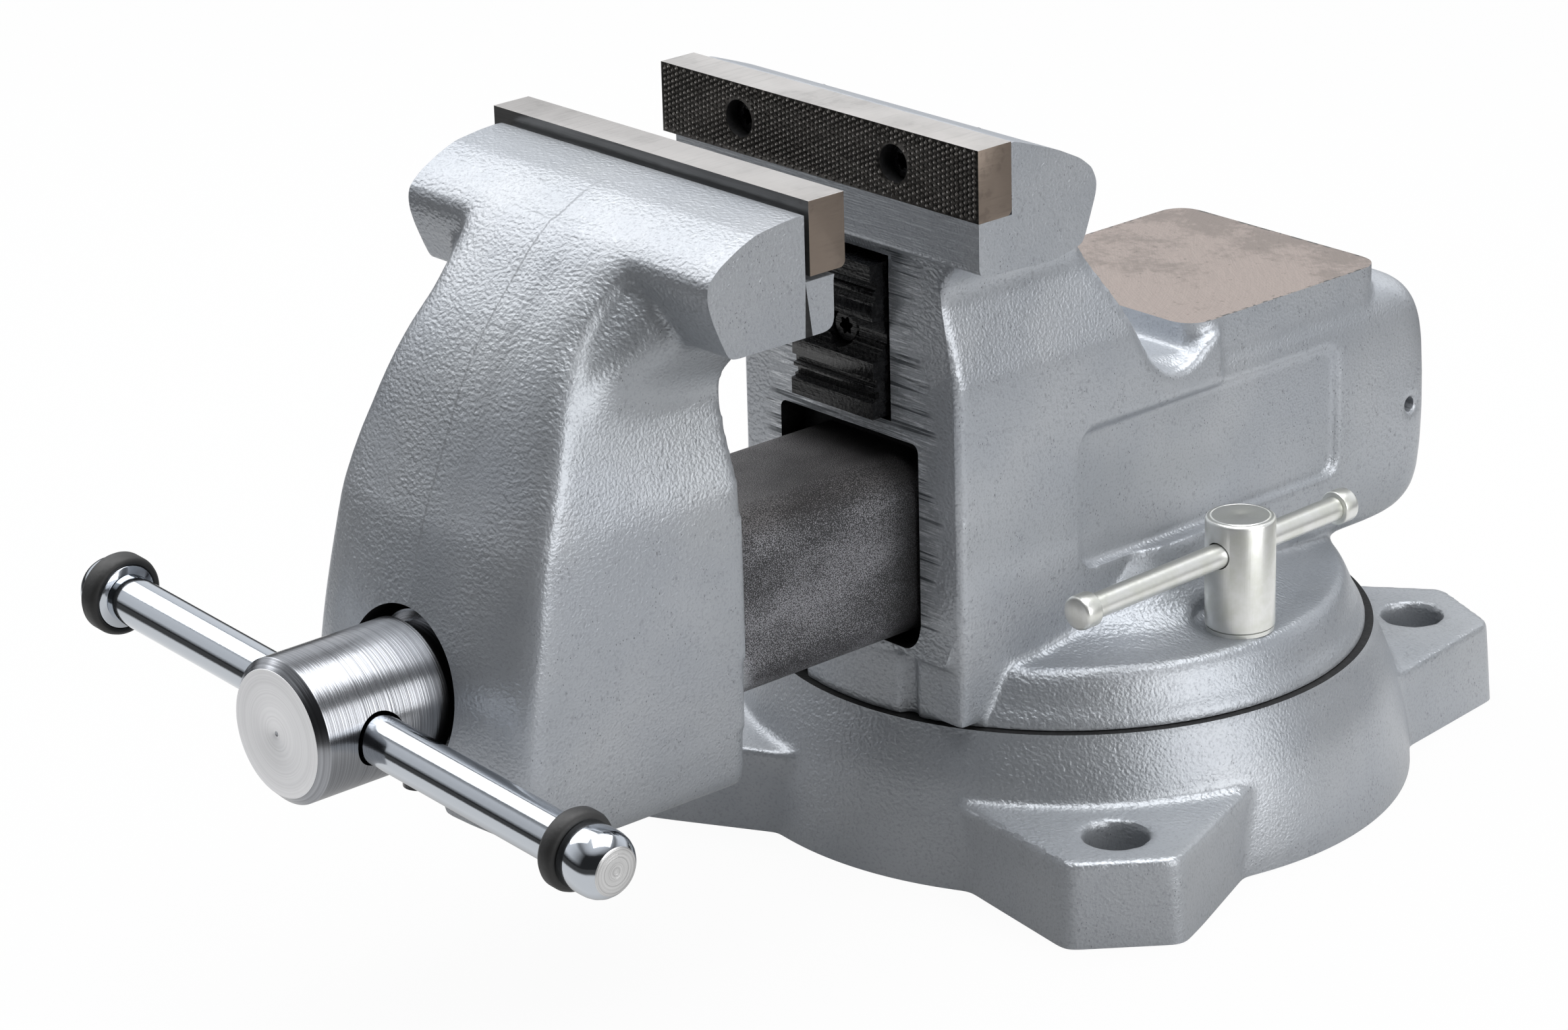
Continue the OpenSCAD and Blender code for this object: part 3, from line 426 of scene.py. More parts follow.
# materials, in metres
def paint_material(name, zone=None, milled=False, ridge=False, scratched=False, light=1.0):
    """Silver paint on a sand casting: orange peel, sand dimples on upright sides, small pits."""
    s = Shade(name)
    x, y, z = s.axes(s.pos)
    broad = s.noise(26, 3)
    worm = s.noise(1020, 0.8, 0.4, stretch=(0.70, 1, 1), warp=0.15)
    grit = s.noise(1300, 2)
    upright = s.step(abs(s.facing()[0]), 0.55, 0.85)
    patch = s.step(s.noise(34, 2) + (zone(s, y, z) if zone else 0.0), 0.36, 0.62)
    dimple = s.step(s.cells(520), 0.34, 0.05) * s.step(s.noise(150, 1), 0.44, 0.58) * upright
    speck = s.step(s.cells(1050), 0.21, 0.09) * s.step(s.noise(150, 2), 0.50, 0.60)
    speck = speck * (0.12 + upright * 0.88)
    # light scales the paint's colour, so each piece gets a brighter or darker copy: painted light
    tone = s.mix(s.step(broad, 0.3, 0.7), shaded((0.300, 0.318, 0.345), light),
                 shaded((0.345, 0.360, 0.382), light))
    tone = s.mix(s.step(s.noise(9, 3), 0.5, 0.75) * 0.5, tone, (0.30, 0.315, 0.325))
    peel = 0.30 + patch * 0.70
    if milled:
        lines = s.noise(1, 3, 0.7, stretch=(90, 1, 1500))
        cuts = s.noise(1, 2, 0.6, stretch=(22, 1, 620))
        fade = s.step(abs(x) + s.noise(75, 3) * 0.020 + (z - 0.110) * 0.10, 0.047, 0.040)
        tone = s.mix(0.5, tone, (0.46, 0.48, 0.51))
        tone = s.mix(s.step(lines, 0.50, 0.60) * fade, tone, (0.66, 0.68, 0.71))
        tone = s.mix(s.step(cuts, 0.53, 0.62) * fade, tone, (0.10, 0.11, 0.12))
        s.bump((lines * 0.5 + cuts * 0.6) * fade, 0.0008, 0.8)
        peel = 1.0 - fade
    if scratched:
        lines = s.noise(1, 3, 0.6, pos=s.stretched((70, 1, 1700), (0, math.radians(52), 0)))
        tone = s.mix(s.step(lines, 0.52, 0.68) * 0.55, tone, (0.46, 0.49, 0.52))
        s.bump(lines, 0.0004, 0.6)
        peel = 0.15
    s.bump(worm * peel * (1.0 - upright * 0.70), 0.0005, 0.6)
    if ridge:
        across = x + (broad - 0.5) * 0.002
        line = s.step(across, -0.0006, 0.0006) * s.step(across, 0.014, 0.006)
        s.bump(line * s.step(y, -0.155, -0.19) * s.step(z, 0.110, 0.135), 0.0005, 0.7)
    s.bump(grit * 0.5 + dimple * -0.12, 0.00042, 0.6)
    tone = s.mix(s.step(grit, 0.52, 0.66) * 0.26, tone, (0.19, 0.20, 0.215))
    # painted shade: the paint darker low down, from about 34 to 62 mm up, over the top of the base
    # and the flange
    rim = s.step(z, 0.024, 0.034) * s.step(z, 0.085, 0.062)
    tone = s.mix(rim * 0.22, tone, (0.10, 0.11, 0.12))
    # painted shade: near black in the small pits and darker in the sand dimples
    tone = s.mix(speck * 0.7, tone, (0.05, 0.05, 0.055))
    tone = s.mix(dimple * 0.30, tone, (0.12, 0.125, 0.135))
    s.set(color=tone, rough=0.27 + grit * 0.18, metal=0.55)
    return s.m


def arm_zone(s, y, z):
    """Rougher on the head, smoother low down."""
    return s.step(z, 0.10, 0.19) * 0.22 - 0.06


def body_zone(s, y, z):
    """Rough flange and column foot, smoother flanks."""
    return s.step(z, 0.085, 0.060) * 0.18 + s.step(y, 0.0, -0.05) * 0.16 - 0.10


def base_zone(s, y, z):
    """Smoother lugs, rougher wall."""
    return s.step(z, 0.018, 0.036) * 0.22 - 0.08


def simple_material(name, base, rough, metal=1.0):
    s = Shade(name)
    grain = s.noise(900, 3)
    s.set(color=base, rough=rough - 0.06 + grain * 0.12, metal=metal)
    s.bump(grain, 0.0002, 0.3)
    return s.m


def bar_material():
    """Blasted dark iron with a grey grain, and silver overspray low down by the arm."""
    s = Shade("bar_iron")
    _, y, z = s.axes(s.pos)
    grain = s.noise(3200, 2, 0.6)
    cloud = s.noise(42, 4, 0.6, stretch=(1, 0.5, 1)) - 0.5
    light = s.step(grain + cloud * 0.4, 0.44, 0.62)
    # painted shade: faces that look up get a darker, browner copy of the grain
    top = s.step(s.facing()[2], 0.25, 0.85)
    tone = s.mix(light, (0.034, 0.034, 0.036), (0.31, 0.31, 0.33))
    above = s.mix(light, (0.022, 0.020, 0.020), (0.115, 0.105, 0.10))
    tone = s.mix(top * 0.72, tone, above)
    spray = s.step((-0.134 - y) + (0.083 - z) * 1.3 + cloud * 0.05, 0.016, 0.034)
    spray = s.math("MULTIPLY", spray * s.step(z, 0.070, 0.074), 0.35 + grain, clamp=True)
    tone = s.mix(spray, tone, (0.50, 0.52, 0.55))
    # painted shade: near black where the bar goes into the column's hole
    tone = s.mix(s.step(y, -0.102, -0.086) * 0.75, tone, (0.008, 0.008, 0.008))
    s.set(color=tone, rough=0.36 + grain * 0.2, metal=0.6)
    s.bump(grain, 0.0004, 0.7)
    return s.m


def ground_material(name, warm, stretch, rough, metal, stains):
    """Ground steel: fine straight lines, faint brown clouds and stains."""
    s = Shade(name)
    lines = s.noise(1, 3, 0.65, stretch=stretch)
    cloud = s.noise(40, 4, 0.6)
    spots = s.noise(330, 3, 0.6)
    dark = shaded(warm, 0.45)
    tone = s.mix(s.step(cloud, 0.38, 0.68), warm, shaded(warm, 0.84))
    tone = s.mix(s.step(spots, 0.50, 0.62) * s.step(cloud, 0.50, 0.62) * stains, tone, dark)
    tone = s.mix(s.step(lines, 0.52, 0.72) * 0.30, tone, dark)
    tone = s.mix(s.step(s.axes(s.pos)[1], -0.12, -0.142) * 0.16, tone, dark)
    s.set(color=tone, rough=rough - 0.05 + lines * 0.16, metal=metal)
    s.bump(lines, 0.00022, 0.4)
    return s.m


def anvil_material():
    """Milled face: crossing cutter arcs, brown smudges to the back, chipped paint at the rim."""
    s = Shade("anvil_steel")
    x, y, _ = s.axes(s.pos)

    def arcs(cx, cy):
        return s.noise(1, 2, 0.6, pos=s.point(s.length(x - cx, y - cy) * 2300, x * 110))

    lines = arcs(-0.06, -0.03) * 0.5 + arcs(0.09, 0.16) * 0.5
    cloud = s.noise(38, 4, 0.62)
    spots = s.noise(420, 3, 0.65)
    smudge = s.step(cloud + s.step(y, 0.02, 0.10) * 0.16 + spots * 0.5, 0.78, 0.98)
    tone = s.mix(s.step(lines, 0.40, 0.60), (0.298, 0.250, 0.226), (0.268, 0.226, 0.205))
    tone = s.mix(smudge * 0.75, tone, (0.17, 0.145, 0.13))
    tone = s.mix(s.step(s.noise(1900, 2), 0.50, 0.66) * 0.30, tone, (0.16, 0.135, 0.12))
    tone = s.mix(s.step(spots, 0.62, 0.72) * 0.6, tone, (0.12, 0.10, 0.09))
    rim = s.math("MAXIMUM", s.step(abs(x), 0.0400, 0.0407), s.step(y, 0.0899, 0.0906))
    tone = s.mix(rim * s.step(s.noise(480, 3), 0.47, 0.55), tone, (0.05, 0.05, 0.05))
    s.set(color=tone, rough=0.38 + lines * 0.16, metal=0.55)
    s.bump(lines, 0.0002, 0.5)
    return s.m


def turned_material():
    """Turned bright steel: rings on the end face, fine feed lines round the side."""
    s = Shade("turned_steel")
    x, y, z = s.axes(s.pos)
    r = s.length(x, z - SPINDLE_Z * MM)
    face = s.math("LESS_THAN", y, -0.2847)
    rings = s.noise(1, 2, 0.6, pos=s.point(r * 1400, y * 1900))
    wide = s.noise(1, 1, 0.5, pos=s.point(r * 520, y * 500))
    line = s.step(rings, 0.35, 0.75)
    side = s.mix(line, (0.33, 0.34, 0.36), (0.22, 0.225, 0.24))
    end = s.mix(line, (0.92, 0.92, 0.93), (0.80, 0.80, 0.81))
    s.set(color=s.mix(face, side, end), rough=0.18 + face * 0.26 + s.noise(40, 3) * 0.08,
          metal=1.0 - face * 0.5)
    s.bump(rings + wide * 0.3, 0.00013, 0.4)
    return s.m


def chrome_material():
    """Chrome with a dull turned spot at the middle of each knob's end."""
    s = Shade("chrome")
    x, y, z = s.axes(s.pos)
    up = z - SPINDLE_Z * MM
    along = x * math.cos(HANDLE_TILT) - up * math.sin(HANDLE_TILT)
    rise = x * math.sin(HANDLE_TILT) + up * math.cos(HANDLE_TILT)
    r = s.length(rise, y - HANDLE_Y * MM)
    end = s.math("MAXIMUM", s.math("GREATER_THAN", along, 0.11205),
                 s.math("LESS_THAN", along, -0.10415))
    rings = s.noise(1, 3, 0.7, pos=s.point(r * 1500))
    fine = s.noise(700, 2)
    spot = s.mix(s.step(rings, 0.4, 0.7), (0.62, 0.62, 0.62), (0.40, 0.40, 0.40))
    s.set(color=s.mix(end, (0.50, 0.53, 0.57), spot), rough=0.07 + fine * 0.06 + end * 0.26,
          metal=1.0)
    s.bump(rings * end, 0.0003, 0.6)
    s.bump(fine, 0.00004, 0.2)
    return s.m


def knurl_material():
    """Dark oxide in the grooves, and a painted highlight on the tips."""
    s = Shade("plate_teeth")
    n = s.noise(800, 3, 0.6)
    y = s.axes(s.pos)[1]
    # painted highlight: the flat tips of the teeth lighter
    tip_highlight = s.math("MAXIMUM", *(s.math("COMPARE", y, face * MM, 0.00006)
                              for face in (REAR_FACE, FRONT_FACE)))
    tone = s.mix(s.step(n, 0.35, 0.75), (0.036, 0.034, 0.031), (0.105, 0.097, 0.090))
    tone = s.mix(tip_highlight * s.step(n, 0.25, 0.6), tone, (0.50, 0.48, 0.46))
    s.set(color=tone, rough=0.24 + n * 0.2, metal=0.9)
    s.bump(s.noise(2600, 2), 0.00015, 0.4)
    return s.m


def zinc_material():
    """Zinc plate with a faint straw tint and drawn lines, and painted shade on top."""
    s = Shade("zinc")
    cloud = s.noise(120, 4, 0.6)
    top = s.step(s.facing()[2], 0.80, 0.95)
    tone = s.mix(s.step(cloud, 0.35, 0.7), (0.78, 0.785, 0.77), (0.67, 0.68, 0.63))
    # painted shade: the faces that look up darker
    tone = s.mix(top * 0.72, tone, (0.22, 0.225, 0.21))
    s.set(color=tone, rough=0.26 + cloud * 0.16, metal=0.8)
    s.bump(s.noise(1, 3, 0.6, stretch=(900, 900, 60)), 0.00016, 0.35)
    return s.m


def black_material(name, rough):
    """Black oxide with fine horizontal broaching lines. Also the black put inside holes, slots and
    gaps, which is painted shade there.
    """
    s = Shade(name)
    n = s.noise(650, 3)
    tone = s.mix(s.step(n, 0.45, 0.8), (0.003, 0.003, 0.0035), (0.016, 0.016, 0.017))
    s.set(color=tone, rough=rough - 0.06 + n * 0.22, metal=0.3)
    s.bump(s.noise(1, 2, 0.6, stretch=(60, 40, 1500)), 0.0003, 0.5)
    s.bump(s.noise(900, 2), 0.0004, 0.4)
    return s.m


# The light factors give brighter and darker copies of one paint, 1.2 on the body, 1.03 on the arm,
# 1.08 on the base: painted light.
PAINT = paint_material("body_paint", body_zone, light=1.2)
PAINT_ARM = paint_material("arm_paint", arm_zone, ridge=True, light=1.03)
PAINT_BASE = paint_material("base_paint", base_zone, light=1.08)
PAINT_MILLED = paint_material("milled_paint", milled=True)
PAINT_LIP = paint_material("lip_paint", scratched=True)
# black for the insides of holes, slots and seams: painted shade
HOLE_SHADE = black_material("bore_black", 0.6)
ANVIL = anvil_material()
PLATE = ground_material("plate_steel", (0.43, 0.414, 0.401), (900, 30, 900), 0.32, 0.55, 0.25)
PLATE_END = ground_material("plate_end_steel", (0.215, 0.174, 0.143), (900, 60, 500),
                            0.42, 0.7, 0.35)
# painted reflection: a darker copy of the plate steel for the plates' back faces
PLATE_BACK = ground_material("plate_back_steel", (0.20, 0.20, 0.198), (30, 900, 900),
                             0.30, 0.8, 0.3)
KNURL = knurl_material()
BLACK = black_material("black_steel", 0.22)
TURNED = turned_material()
CHROME = chrome_material()
RUBBER = simple_material("rubber", (0.012, 0.012, 0.012), 0.55, 0.0)
ZINC = zinc_material()
BY_SLOT = {"cast_paint": PAINT, "bar_iron": bar_material(), "plate_steel": PLATE,
           "black_steel": BLACK, "turned_steel": TURNED, "chrome": CHROME, "rubber": RUBBER,
           "zinc": ZINC, "bronze": simple_material("bronze", (0.5, 0.35, 0.18), 0.35),
           "plain_steel": simple_material("plain_steel", (0.3, 0.3, 0.31), 0.4)}
for part in frame["record"]["subparts"]:
    ob = nodes[part["node"]]
    ob.data.materials.clear()
    ob.data.materials.append(BY_SLOT[part["material_slot"]])
    crisp(ob)


# castings
# side outlines of the two heads, and of the cut under the rear one
REAR_HEAD = [(-94.9, 185.8), (-94.2, 185.0), (-68.6, 183.5), (-64.0, 184.1), (-56.5, 185.7),
             (-55.0, 188.8), (-53.2, 193.5), (-51.3, 198.7), (-50.7, 202), (-52.8, 206.4),
             (-57, 209.8), (-65.3, 213.9), (-72.8, 216.7), (-82.2, 220), (-94.9, 213.5)]
FRONT_HEAD = [(-146.8, 213.5), (-156.9, 216.9), (-164.7, 216.3), (-172.7, 215.2),
              (-178.4, 213.0), (-185.3, 209.3), (-188.8, 206.2), (-189.7, 204.2),
              (-189.4, 200.0), (-187.9, 195.3), (-185.4, 189.5), (-182.7, 184.0),
              (-148.4, 183.8), (-146.8, 185.6)]
UNDER_HEAD = [(-33.6, 176.8), (-36.2, 179.6), (-40.5, 182.2), (-48, 184.6), (-55.6, 186.6),
              (-55.0, 188.8), (-53.2, 193.5), (-51.3, 198.7), (-30, 198.7), (-30, 176.8)]
# front view of the filler on the column's front, and side view of the cut that follows: back
# to COLUMN_FRONT from 73 mm up, sloping out below that
COLUMN_FACE = [(-40, 64), (40, 64), (40, 150), (37, 172), (-37, 172), (-40, 150)]
COLUMN_MILL = [(-85, 73), (-88, 61), (-100, 61), (-100, 180.5), (-85, 180.5)]
# the arm's rows: height, front middle, ridge, half widths at the ridge and the back
ARM_ROWS = [
    (60, -234.0, -229.0, 44.6, 43.6), (65, -240.5, -234.5, 44.9, 44.2),
    (71, -245.4, -238.2, 45.0, 44.8), (80, -247.4, -240.4, 45.0, 45.3),
    (94, -246.4, -239.0, 45.0, 46.4), (112, -242.6, -235.6, 44.6, 47.0),
    (134, -235.8, -231.0, 43.0, 46.2), (142, -232.6, -228.4, 42.2, 45.2),
    (150, -229.2, -225.3, 41.0, 42.6), (158, -225.8, -222.0, 39.2, 40.2),
    (166, -222.2, -218.8, 37.2, 39.0), (173, -218.6, -215.6, 35.2, 42.4),
    (180, -214.3, -211.8, 33.0, 50.0), (187, -209.2, -206.6, 31.2, 57.0),
    (193, -203.9, -201.6, 31.2, 58.0), (199, -198.4, -195.4, 32.6, 58.0),
    (204, -193.6, -190.4, 35.0, 58.0), (209, -187.6, -184.0, 38.0, 58.0),
]
ARM_BACK, ARM_EDGE = -165.0, 5.0


def arm_half(middle, ridge, half, back):
    """Half of one row of the arm, from its front middle round the ridge to its back."""
    d, e = ridge - middle, ARM_EDGE
    return [(half * 0.28, middle + d * 0.05), (half * 0.52, middle + d * 0.22),
            (half * 0.74, middle + d * 0.5), (half - e * 0.95, middle + d * 0.84),
            (half - e * 0.36, ridge + e * 0.22), (half - e * 0.06, ridge + e * 0.62),
            (half, ridge + e * 1.2),
            (half * 0.66 + back * 0.34, ridge * 0.66 + ARM_BACK * 0.34),
            (half * 0.33 + back * 0.67, ridge * 0.33 + ARM_BACK * 0.67), (back, ARM_BACK)]


def arm_loft(between=4):
    """The sliding jaw's arm, skinned through its rows with a smooth curve between them."""
    rows, fine = np.array(ARM_ROWS), []
    last = len(rows) - 1
    for i in range(last):
        a, b, c, d = (rows[min(max(j, 0), last)] for j in (i - 1, i, i + 1, i + 2))
        for t in (k / between for k in range(between)):
            fine.append(0.5 * (2 * b + (c - a) * t + (2 * a - 5 * b + 4 * c - d) * t * t
                               + (3 * b - a - 3 * c + d) * t ** 3))
    fine.append(rows[last])
    verts = []
    for z, middle, *row in fine:
        half = arm_half(middle, *row)
        verts += [(x, y, z) for x, y in [(0.0, middle)] + half + [(-x, y) for x, y in half[::-1]]]
    n, m = len(verts) // len(fine), len(fine)
    faces = [list(range(n))[::-1], list(range(n * (m - 1), n * m))]
    faces += [[r * n + i, r * n + (i + 1) % n, (r + 1) * n + (i + 1) % n, (r + 1) * n + i]
              for r in range(m - 1) for i in range(n)]
    return mesh_object("arm", verts, faces)


def head_cuts(y):
    """Cutters for the flat ends of a head."""
    return [block((JAW_HALF, BEYOND), y, (150, 240)), block((-BEYOND, HEAD_FAR), y, (150, 240))]


def body_hold(co):
    """Less smoothing round the side panels and the flange's lower edge, so they stay crisp."""
    x, y, z = (co / MM).T
    panel = (np.abs(x) > 40) & (y > -44) & (y < 76) & (z > 76) & (z < 127)
    return np.where(panel | (z < 48), 0.3, 1.0)


def cast_body():
    solid = carve(lowered(cad_copy("body"), FLANGE_FOOT, to=39.0, keep_radius=26),
                  tool(UNDER_HEAD, "x", -70, 70))
    pin_boss = [rod("x", (PIN_Y, SPINDLE_Z), 3.4, *ends, 24) for ends in ((20, 39.5), (-39.5, -20))]
    ob = cast("vise_casting", solid, [
        block((-29.5, 29.5), (-84.8, 97), (64, 127)),
        rod("y", (0, SPINDLE_Z), 18.5, 90, 112.5), *pin_boss,
        block((-19, 19), (-84.8, -69), (128.5, 180)),
        tool(rounded(0, 50.25, 41, 40.75, 8), "z", 118, 144.5),
        tool(COLUMN_FACE, "y", -88.5, -80),
        block((-64, 67), (-95, -82), (200.4, 213.5)),
        tool(REAR_HEAD, "x", 50, 67), tool(REAR_HEAD, "x", -64, -50),
    ], 1.2, 5, body_hold)
    flange_ring = carve(block((-100, 100), (-100, 100), (30, FLANGE_FOOT)),
                        rod("z", (0, 0), 24.4, 20, 50))
    plate_seat = block((-BEYOND, BEYOND), (-120, -82.75), (PLATE_LOW, 240))
    anvil_face = block((-60, 60), (6, 100), (ANVIL_TOP, 160))
    slide_hole = [tool(rounded(0, SPINDLE_Z, 26.58, 26.58, 12.1), "y", -120, 97),
                  tool(rounded(0, SPINDLE_Z, 28.1, 28.1, 5), "y", -120, -76),
                  tool(rounded(0, SPINDLE_Z + 4.5, 28.1, 28.1, 2.5), "y", -120, -76)]
    return carve(ob, *head_cuts((-130, -20)), flange_ring, tool(COLUMN_MILL, "x", -70, 70),
                 plate_seat, anvil_face, *slide_hole,
                 rod("y", (0, SPINDLE_Z), 16.8, 90, 130, 80),
                 rod("x", (PIN_Y, SPINDLE_Z), 2.3, -60, 60, 32),
                 block((-17.5, 17.5), (-100, -72), (PIPE_SLOT_LOW, PIPE_SLOT_TOP)))


def cast_front():
    solid = carve(cad_copy("front_jaw"), block((-BEYOND, BEYOND), (-320, -100), (76, 240)))
    ob = cast("sliding_casting", solid, [
        arm_loft(), tool(FRONT_HEAD, "x", -61, 64.5),
        block((-64, 67), (-157, -143), (200.4, 213.5)),
        tool(FRONT_HEAD, "x", 50, 67), tool(FRONT_HEAD, "x", -61, -50),
    ], 1.25, 5)
    keeper_hole = rod("z", (0, -240), 5.98, 40, 69.6)
    plate_seat = block((-BEYOND, BEYOND), (FRONT_SEAT, -100), (PLATE_LOW, 240))
    behind = (FRONT_SEAT - 1.65, -100)
    groove = [block((-BEYOND, BEYOND), behind, (214.98, 240)),
              block((-HEAD_FAR, BEYOND), behind, (198.7, 240)),
              block((-BEYOND, HEAD_FAR), behind, (198.7, 240))]
    return carve(ob, *head_cuts((-220, -100)), keeper_hole, plate_seat, *groove,
                 rod("y", (0, SPINDLE_Z), 22.7, -300, -223.5, 96),
                 rod("y", (0, SPINDLE_Z), 14.05, -300, -150),
                 block((-17.5, 17.5), (-171, -120), (PIPE_SLOT_LOW, PIPE_SLOT_TOP)))


def cast_base():
    solid = lowered(lowered(cad_copy("base"), 0, to=-6), BASE_TOP, to=49)
    everywhere = (-200, 200)
    return carve(cast("base_casting", solid, [], 1.3, 4), block(everywhere, everywhere, (-20, 0)),
                 block(everywhere, everywhere, (BASE_TOP, 60)))


body_cast, front_cast, base_cast = (
    crisp(without_slivers(make())) for make in (cast_body, cast_front, cast_base))
finish_piece(body_cast, "body", "vise_body", PAINT)
face_material(body_cast, PAINT_LIP,
              lambda c, n: n.y < -0.97 and 179 < c.z < 200.5 and c.y > -97)
# painted shade: black inside the slide hole and the pipe jaw slot
face_material(body_cast, HOLE_SHADE, lambda c, n: COLUMN_FRONT + 0.01 < c.y < -60 and (
    (abs(c.x) < 28.2 and 64 < c.z < 126.6) or (abs(c.x) < 17.6 and 130.8 < c.z < 178.9))
    and (n.y > -0.99 or c.y > -84.8))
face_material(body_cast, PAINT_MILLED,
              lambda c, n: abs(c.y - COLUMN_FRONT) < 0.02 and n.y < -0.99 and c.z > 72)
face_material(body_cast, ANVIL, lambda c, n: abs(c.z - ANVIL_TOP) < 0.02 and n.z > 0.99)
finish_piece(front_cast, "front_jaw", "sliding_jaw", PAINT_ARM)
# painted shade: black inside the spindle recess and in the groove behind the front plate
face_material(front_cast, HOLE_SHADE,
              lambda c, n: c.y < -223.4 and c.x ** 2 + (c.z - SPINDLE_Z) ** 2 < 22.72 ** 2)
face_material(front_cast, HOLE_SHADE,
              lambda c, n: -156.5 < c.y < -154 and abs(c.x) > 57.9 and c.z < 214.9)
finish_piece(base_cast, "base", "base", PAINT_BASE)
# painted shade: black on the base's top face, in the seam under the flange
face_material(base_cast, HOLE_SHADE, lambda c, n: abs(c.z - BASE_TOP) < 0.02 and n.z > 0.99)


# turned pieces
def frame_at(origin, axis, side):
    """Matrix that lays local Z along the axis at the origin, all in millimetres."""
    z = Vector(axis).normalized()
    x = Vector(side)
    x = (x - z * x.dot(z)).normalized()
    return Matrix((*zip(x, z.cross(x), z, origin), (0, 0, 0, 1)))


def laid(ob, place):
    """Moves the mesh itself, so the object stays at the origin."""
    ob.data.transform(Matrix.Scale(MM, 4) @ place @ Matrix.Scale(1 / MM, 4))
    fix_normals(ob.data)
    return ob


def bevelled(ob, width, segments, degrees):
    b = ob.modifiers.new("edges", "BEVEL")
    b.width = width * MM
    b.segments = segments
    b.limit_method = "ANGLE"
    b.angle_limit = math.radians(degrees)
    b.use_clamp_overlap = True
    return applied(ob)


def lathe(name, profile, place, count=128):
    return laid(spin(name, profile, count), place)


HANDLE_AT = frame_at((0, HANDLE_Y, SPINDLE_Z),
                     (math.cos(HANDLE_TILT), 0, -math.sin(HANDLE_TILT)), (0, -1, 0))
SPINDLE_AT = frame_at((0, 0, SPINDLE_Z), (0, -1, 0), (0, 0, 1))
# radius and distance along each piece's own axis
SPINDLE_HEAD = [(0, 163), (11.6, 163), (14, 165.4), (14, 226), (19.75, 226), (19.75, 236.4),
                (16.75, 236.4), (16.75, 243.6), (19.75, 243.6), (19.75, 282.25), (17.2, 284.8),
                (1.1, 284.9), (0, 284.3)]
SPINDLE_CORE = [(0, -40), (8.4, -40), (9.4, -39), (9.4, 164), (0, 164)]
KNOB = [(0, 0.05), (8.7, 0.05), (9.1, 0.5), (9.1, 6.2), (9.02, 7.6), (8.75, 9.0), (8.2, 10.3),
        (7.4, 11.4), (6.6, 12.2), (6.35, 12.42), (6.1, 12.5), (1.2, 12.6), (0, 12.3)]
LOCK_BOLT = [(0, 20.7), (5.4, 20.7), (6, 21.3), (6, 61.2), (9.6, 61.2), (10.05, 61.7),
             (10.05, 92.9), (9.85, 93.4), (9.3, 93.8), (8.7, 93.85), (8.5, 93.65), (8.2, 93.95),
             (0.8, 94.1), (0, 93.8)]
LOCK_CAP = [(0, 0.02), (4.6, 0.02), (4.9, 0.2), (5, 0.5), (5, 4.6), (4.85, 5.2), (4.45, 5.7),
            (3.9, 5.92), (0, 6)]


class GrownTree(Tree):
    """A geometry tree with named inputs, which makes a plain mesh."""

    KINDS = {int: "NodeSocketInt", float: "NodeSocketFloat",
             bpy.types.Material: "NodeSocketMaterial", bpy.types.Object: "NodeSocketObject"}

    def __init__(self, name, **inputs):
        super().__init__(bpy.data.node_groups.new(name, "GeometryNodeTree"))
        sockets = self.t.interface
        sockets.new_socket("Geometry", in_out="OUTPUT", socket_type="NodeSocketGeometry")
        for label, value in inputs.items():
            s = sockets.new_socket(label, in_out="INPUT", socket_type=self.KINDS[type(value)])
            s.default_value = value
        given = self.add("NodeGroupInput")
        self.given = {label: Value(self, given.outputs[label]) for label in inputs}

    def grow(self, geometry):
        """Ends the tree in real geometry with its material, and gives the mesh that it makes."""
        real = self.add("GeometryNodeRealizeInstances", {0: geometry})
        done = self.add("GeometryNodeSetMaterial", {"Geometry": real.outputs[0],
                                                    "Material": self.given["Material"]})
        self.add("NodeGroupOutput", {0: done.outputs[0]})
        ob = mesh_object(self.t.name, [(0, 0, 0)], [])
        ob.modifiers.new("grow", "NODES").node_group = self.t
        applied(ob)
        fix_normals(ob.data)
        return ob


def make_thread():
    tree = GrownTree("spindle_thread", Pitch=5.0 * MM, Turns=40, Radius=9.2 * MM, Crest=1.8 * MM,
                     Material=TURNED)
    given = tree.given
    spiral = tree.add("GeometryNodeCurveSpiral", {
        "Resolution": 40, "Rotations": given["Turns"], "Start Radius": given["Radius"],
        "End Radius": given["Radius"], "Height": given["Pitch"] * given["Turns"]})
    path = tree.add("GeometryNodeSetCurveNormal", {"Curve": spiral.outputs[0]}, mode="Z_UP")
    crest = tree.add("GeometryNodeCurvePrimitiveCircle", {"Resolution": 4,
                                                          "Radius": given["Crest"]})
    sweep = tree.add("GeometryNodeCurveToMesh", {
        "Curve": path.outputs[0], "Profile Curve": crest.outputs[0], "Fill Caps": True})
    thread = tree.grow(sweep.outputs[0])
    thread.data.transform(Matrix.Translation((0, 0, -38.5 * MM)))
    return laid(thread, SPINDLE_AT)


def make_spindle():
    head = lathe("spindle_head", SPINDLE_HEAD, SPINDLE_AT, 160)
    carve(head, laid(rod("z", (0, 0), 7.5, -40, 40), HANDLE_AT))
    core = lathe("spindle_core", SPINDLE_CORE, SPINDLE_AT, 64)
    ob = merged("spindle_turned", [head, core, make_thread()])
    finish_piece(crisp(ob, 30), "spindle", "spindle", TURNED)


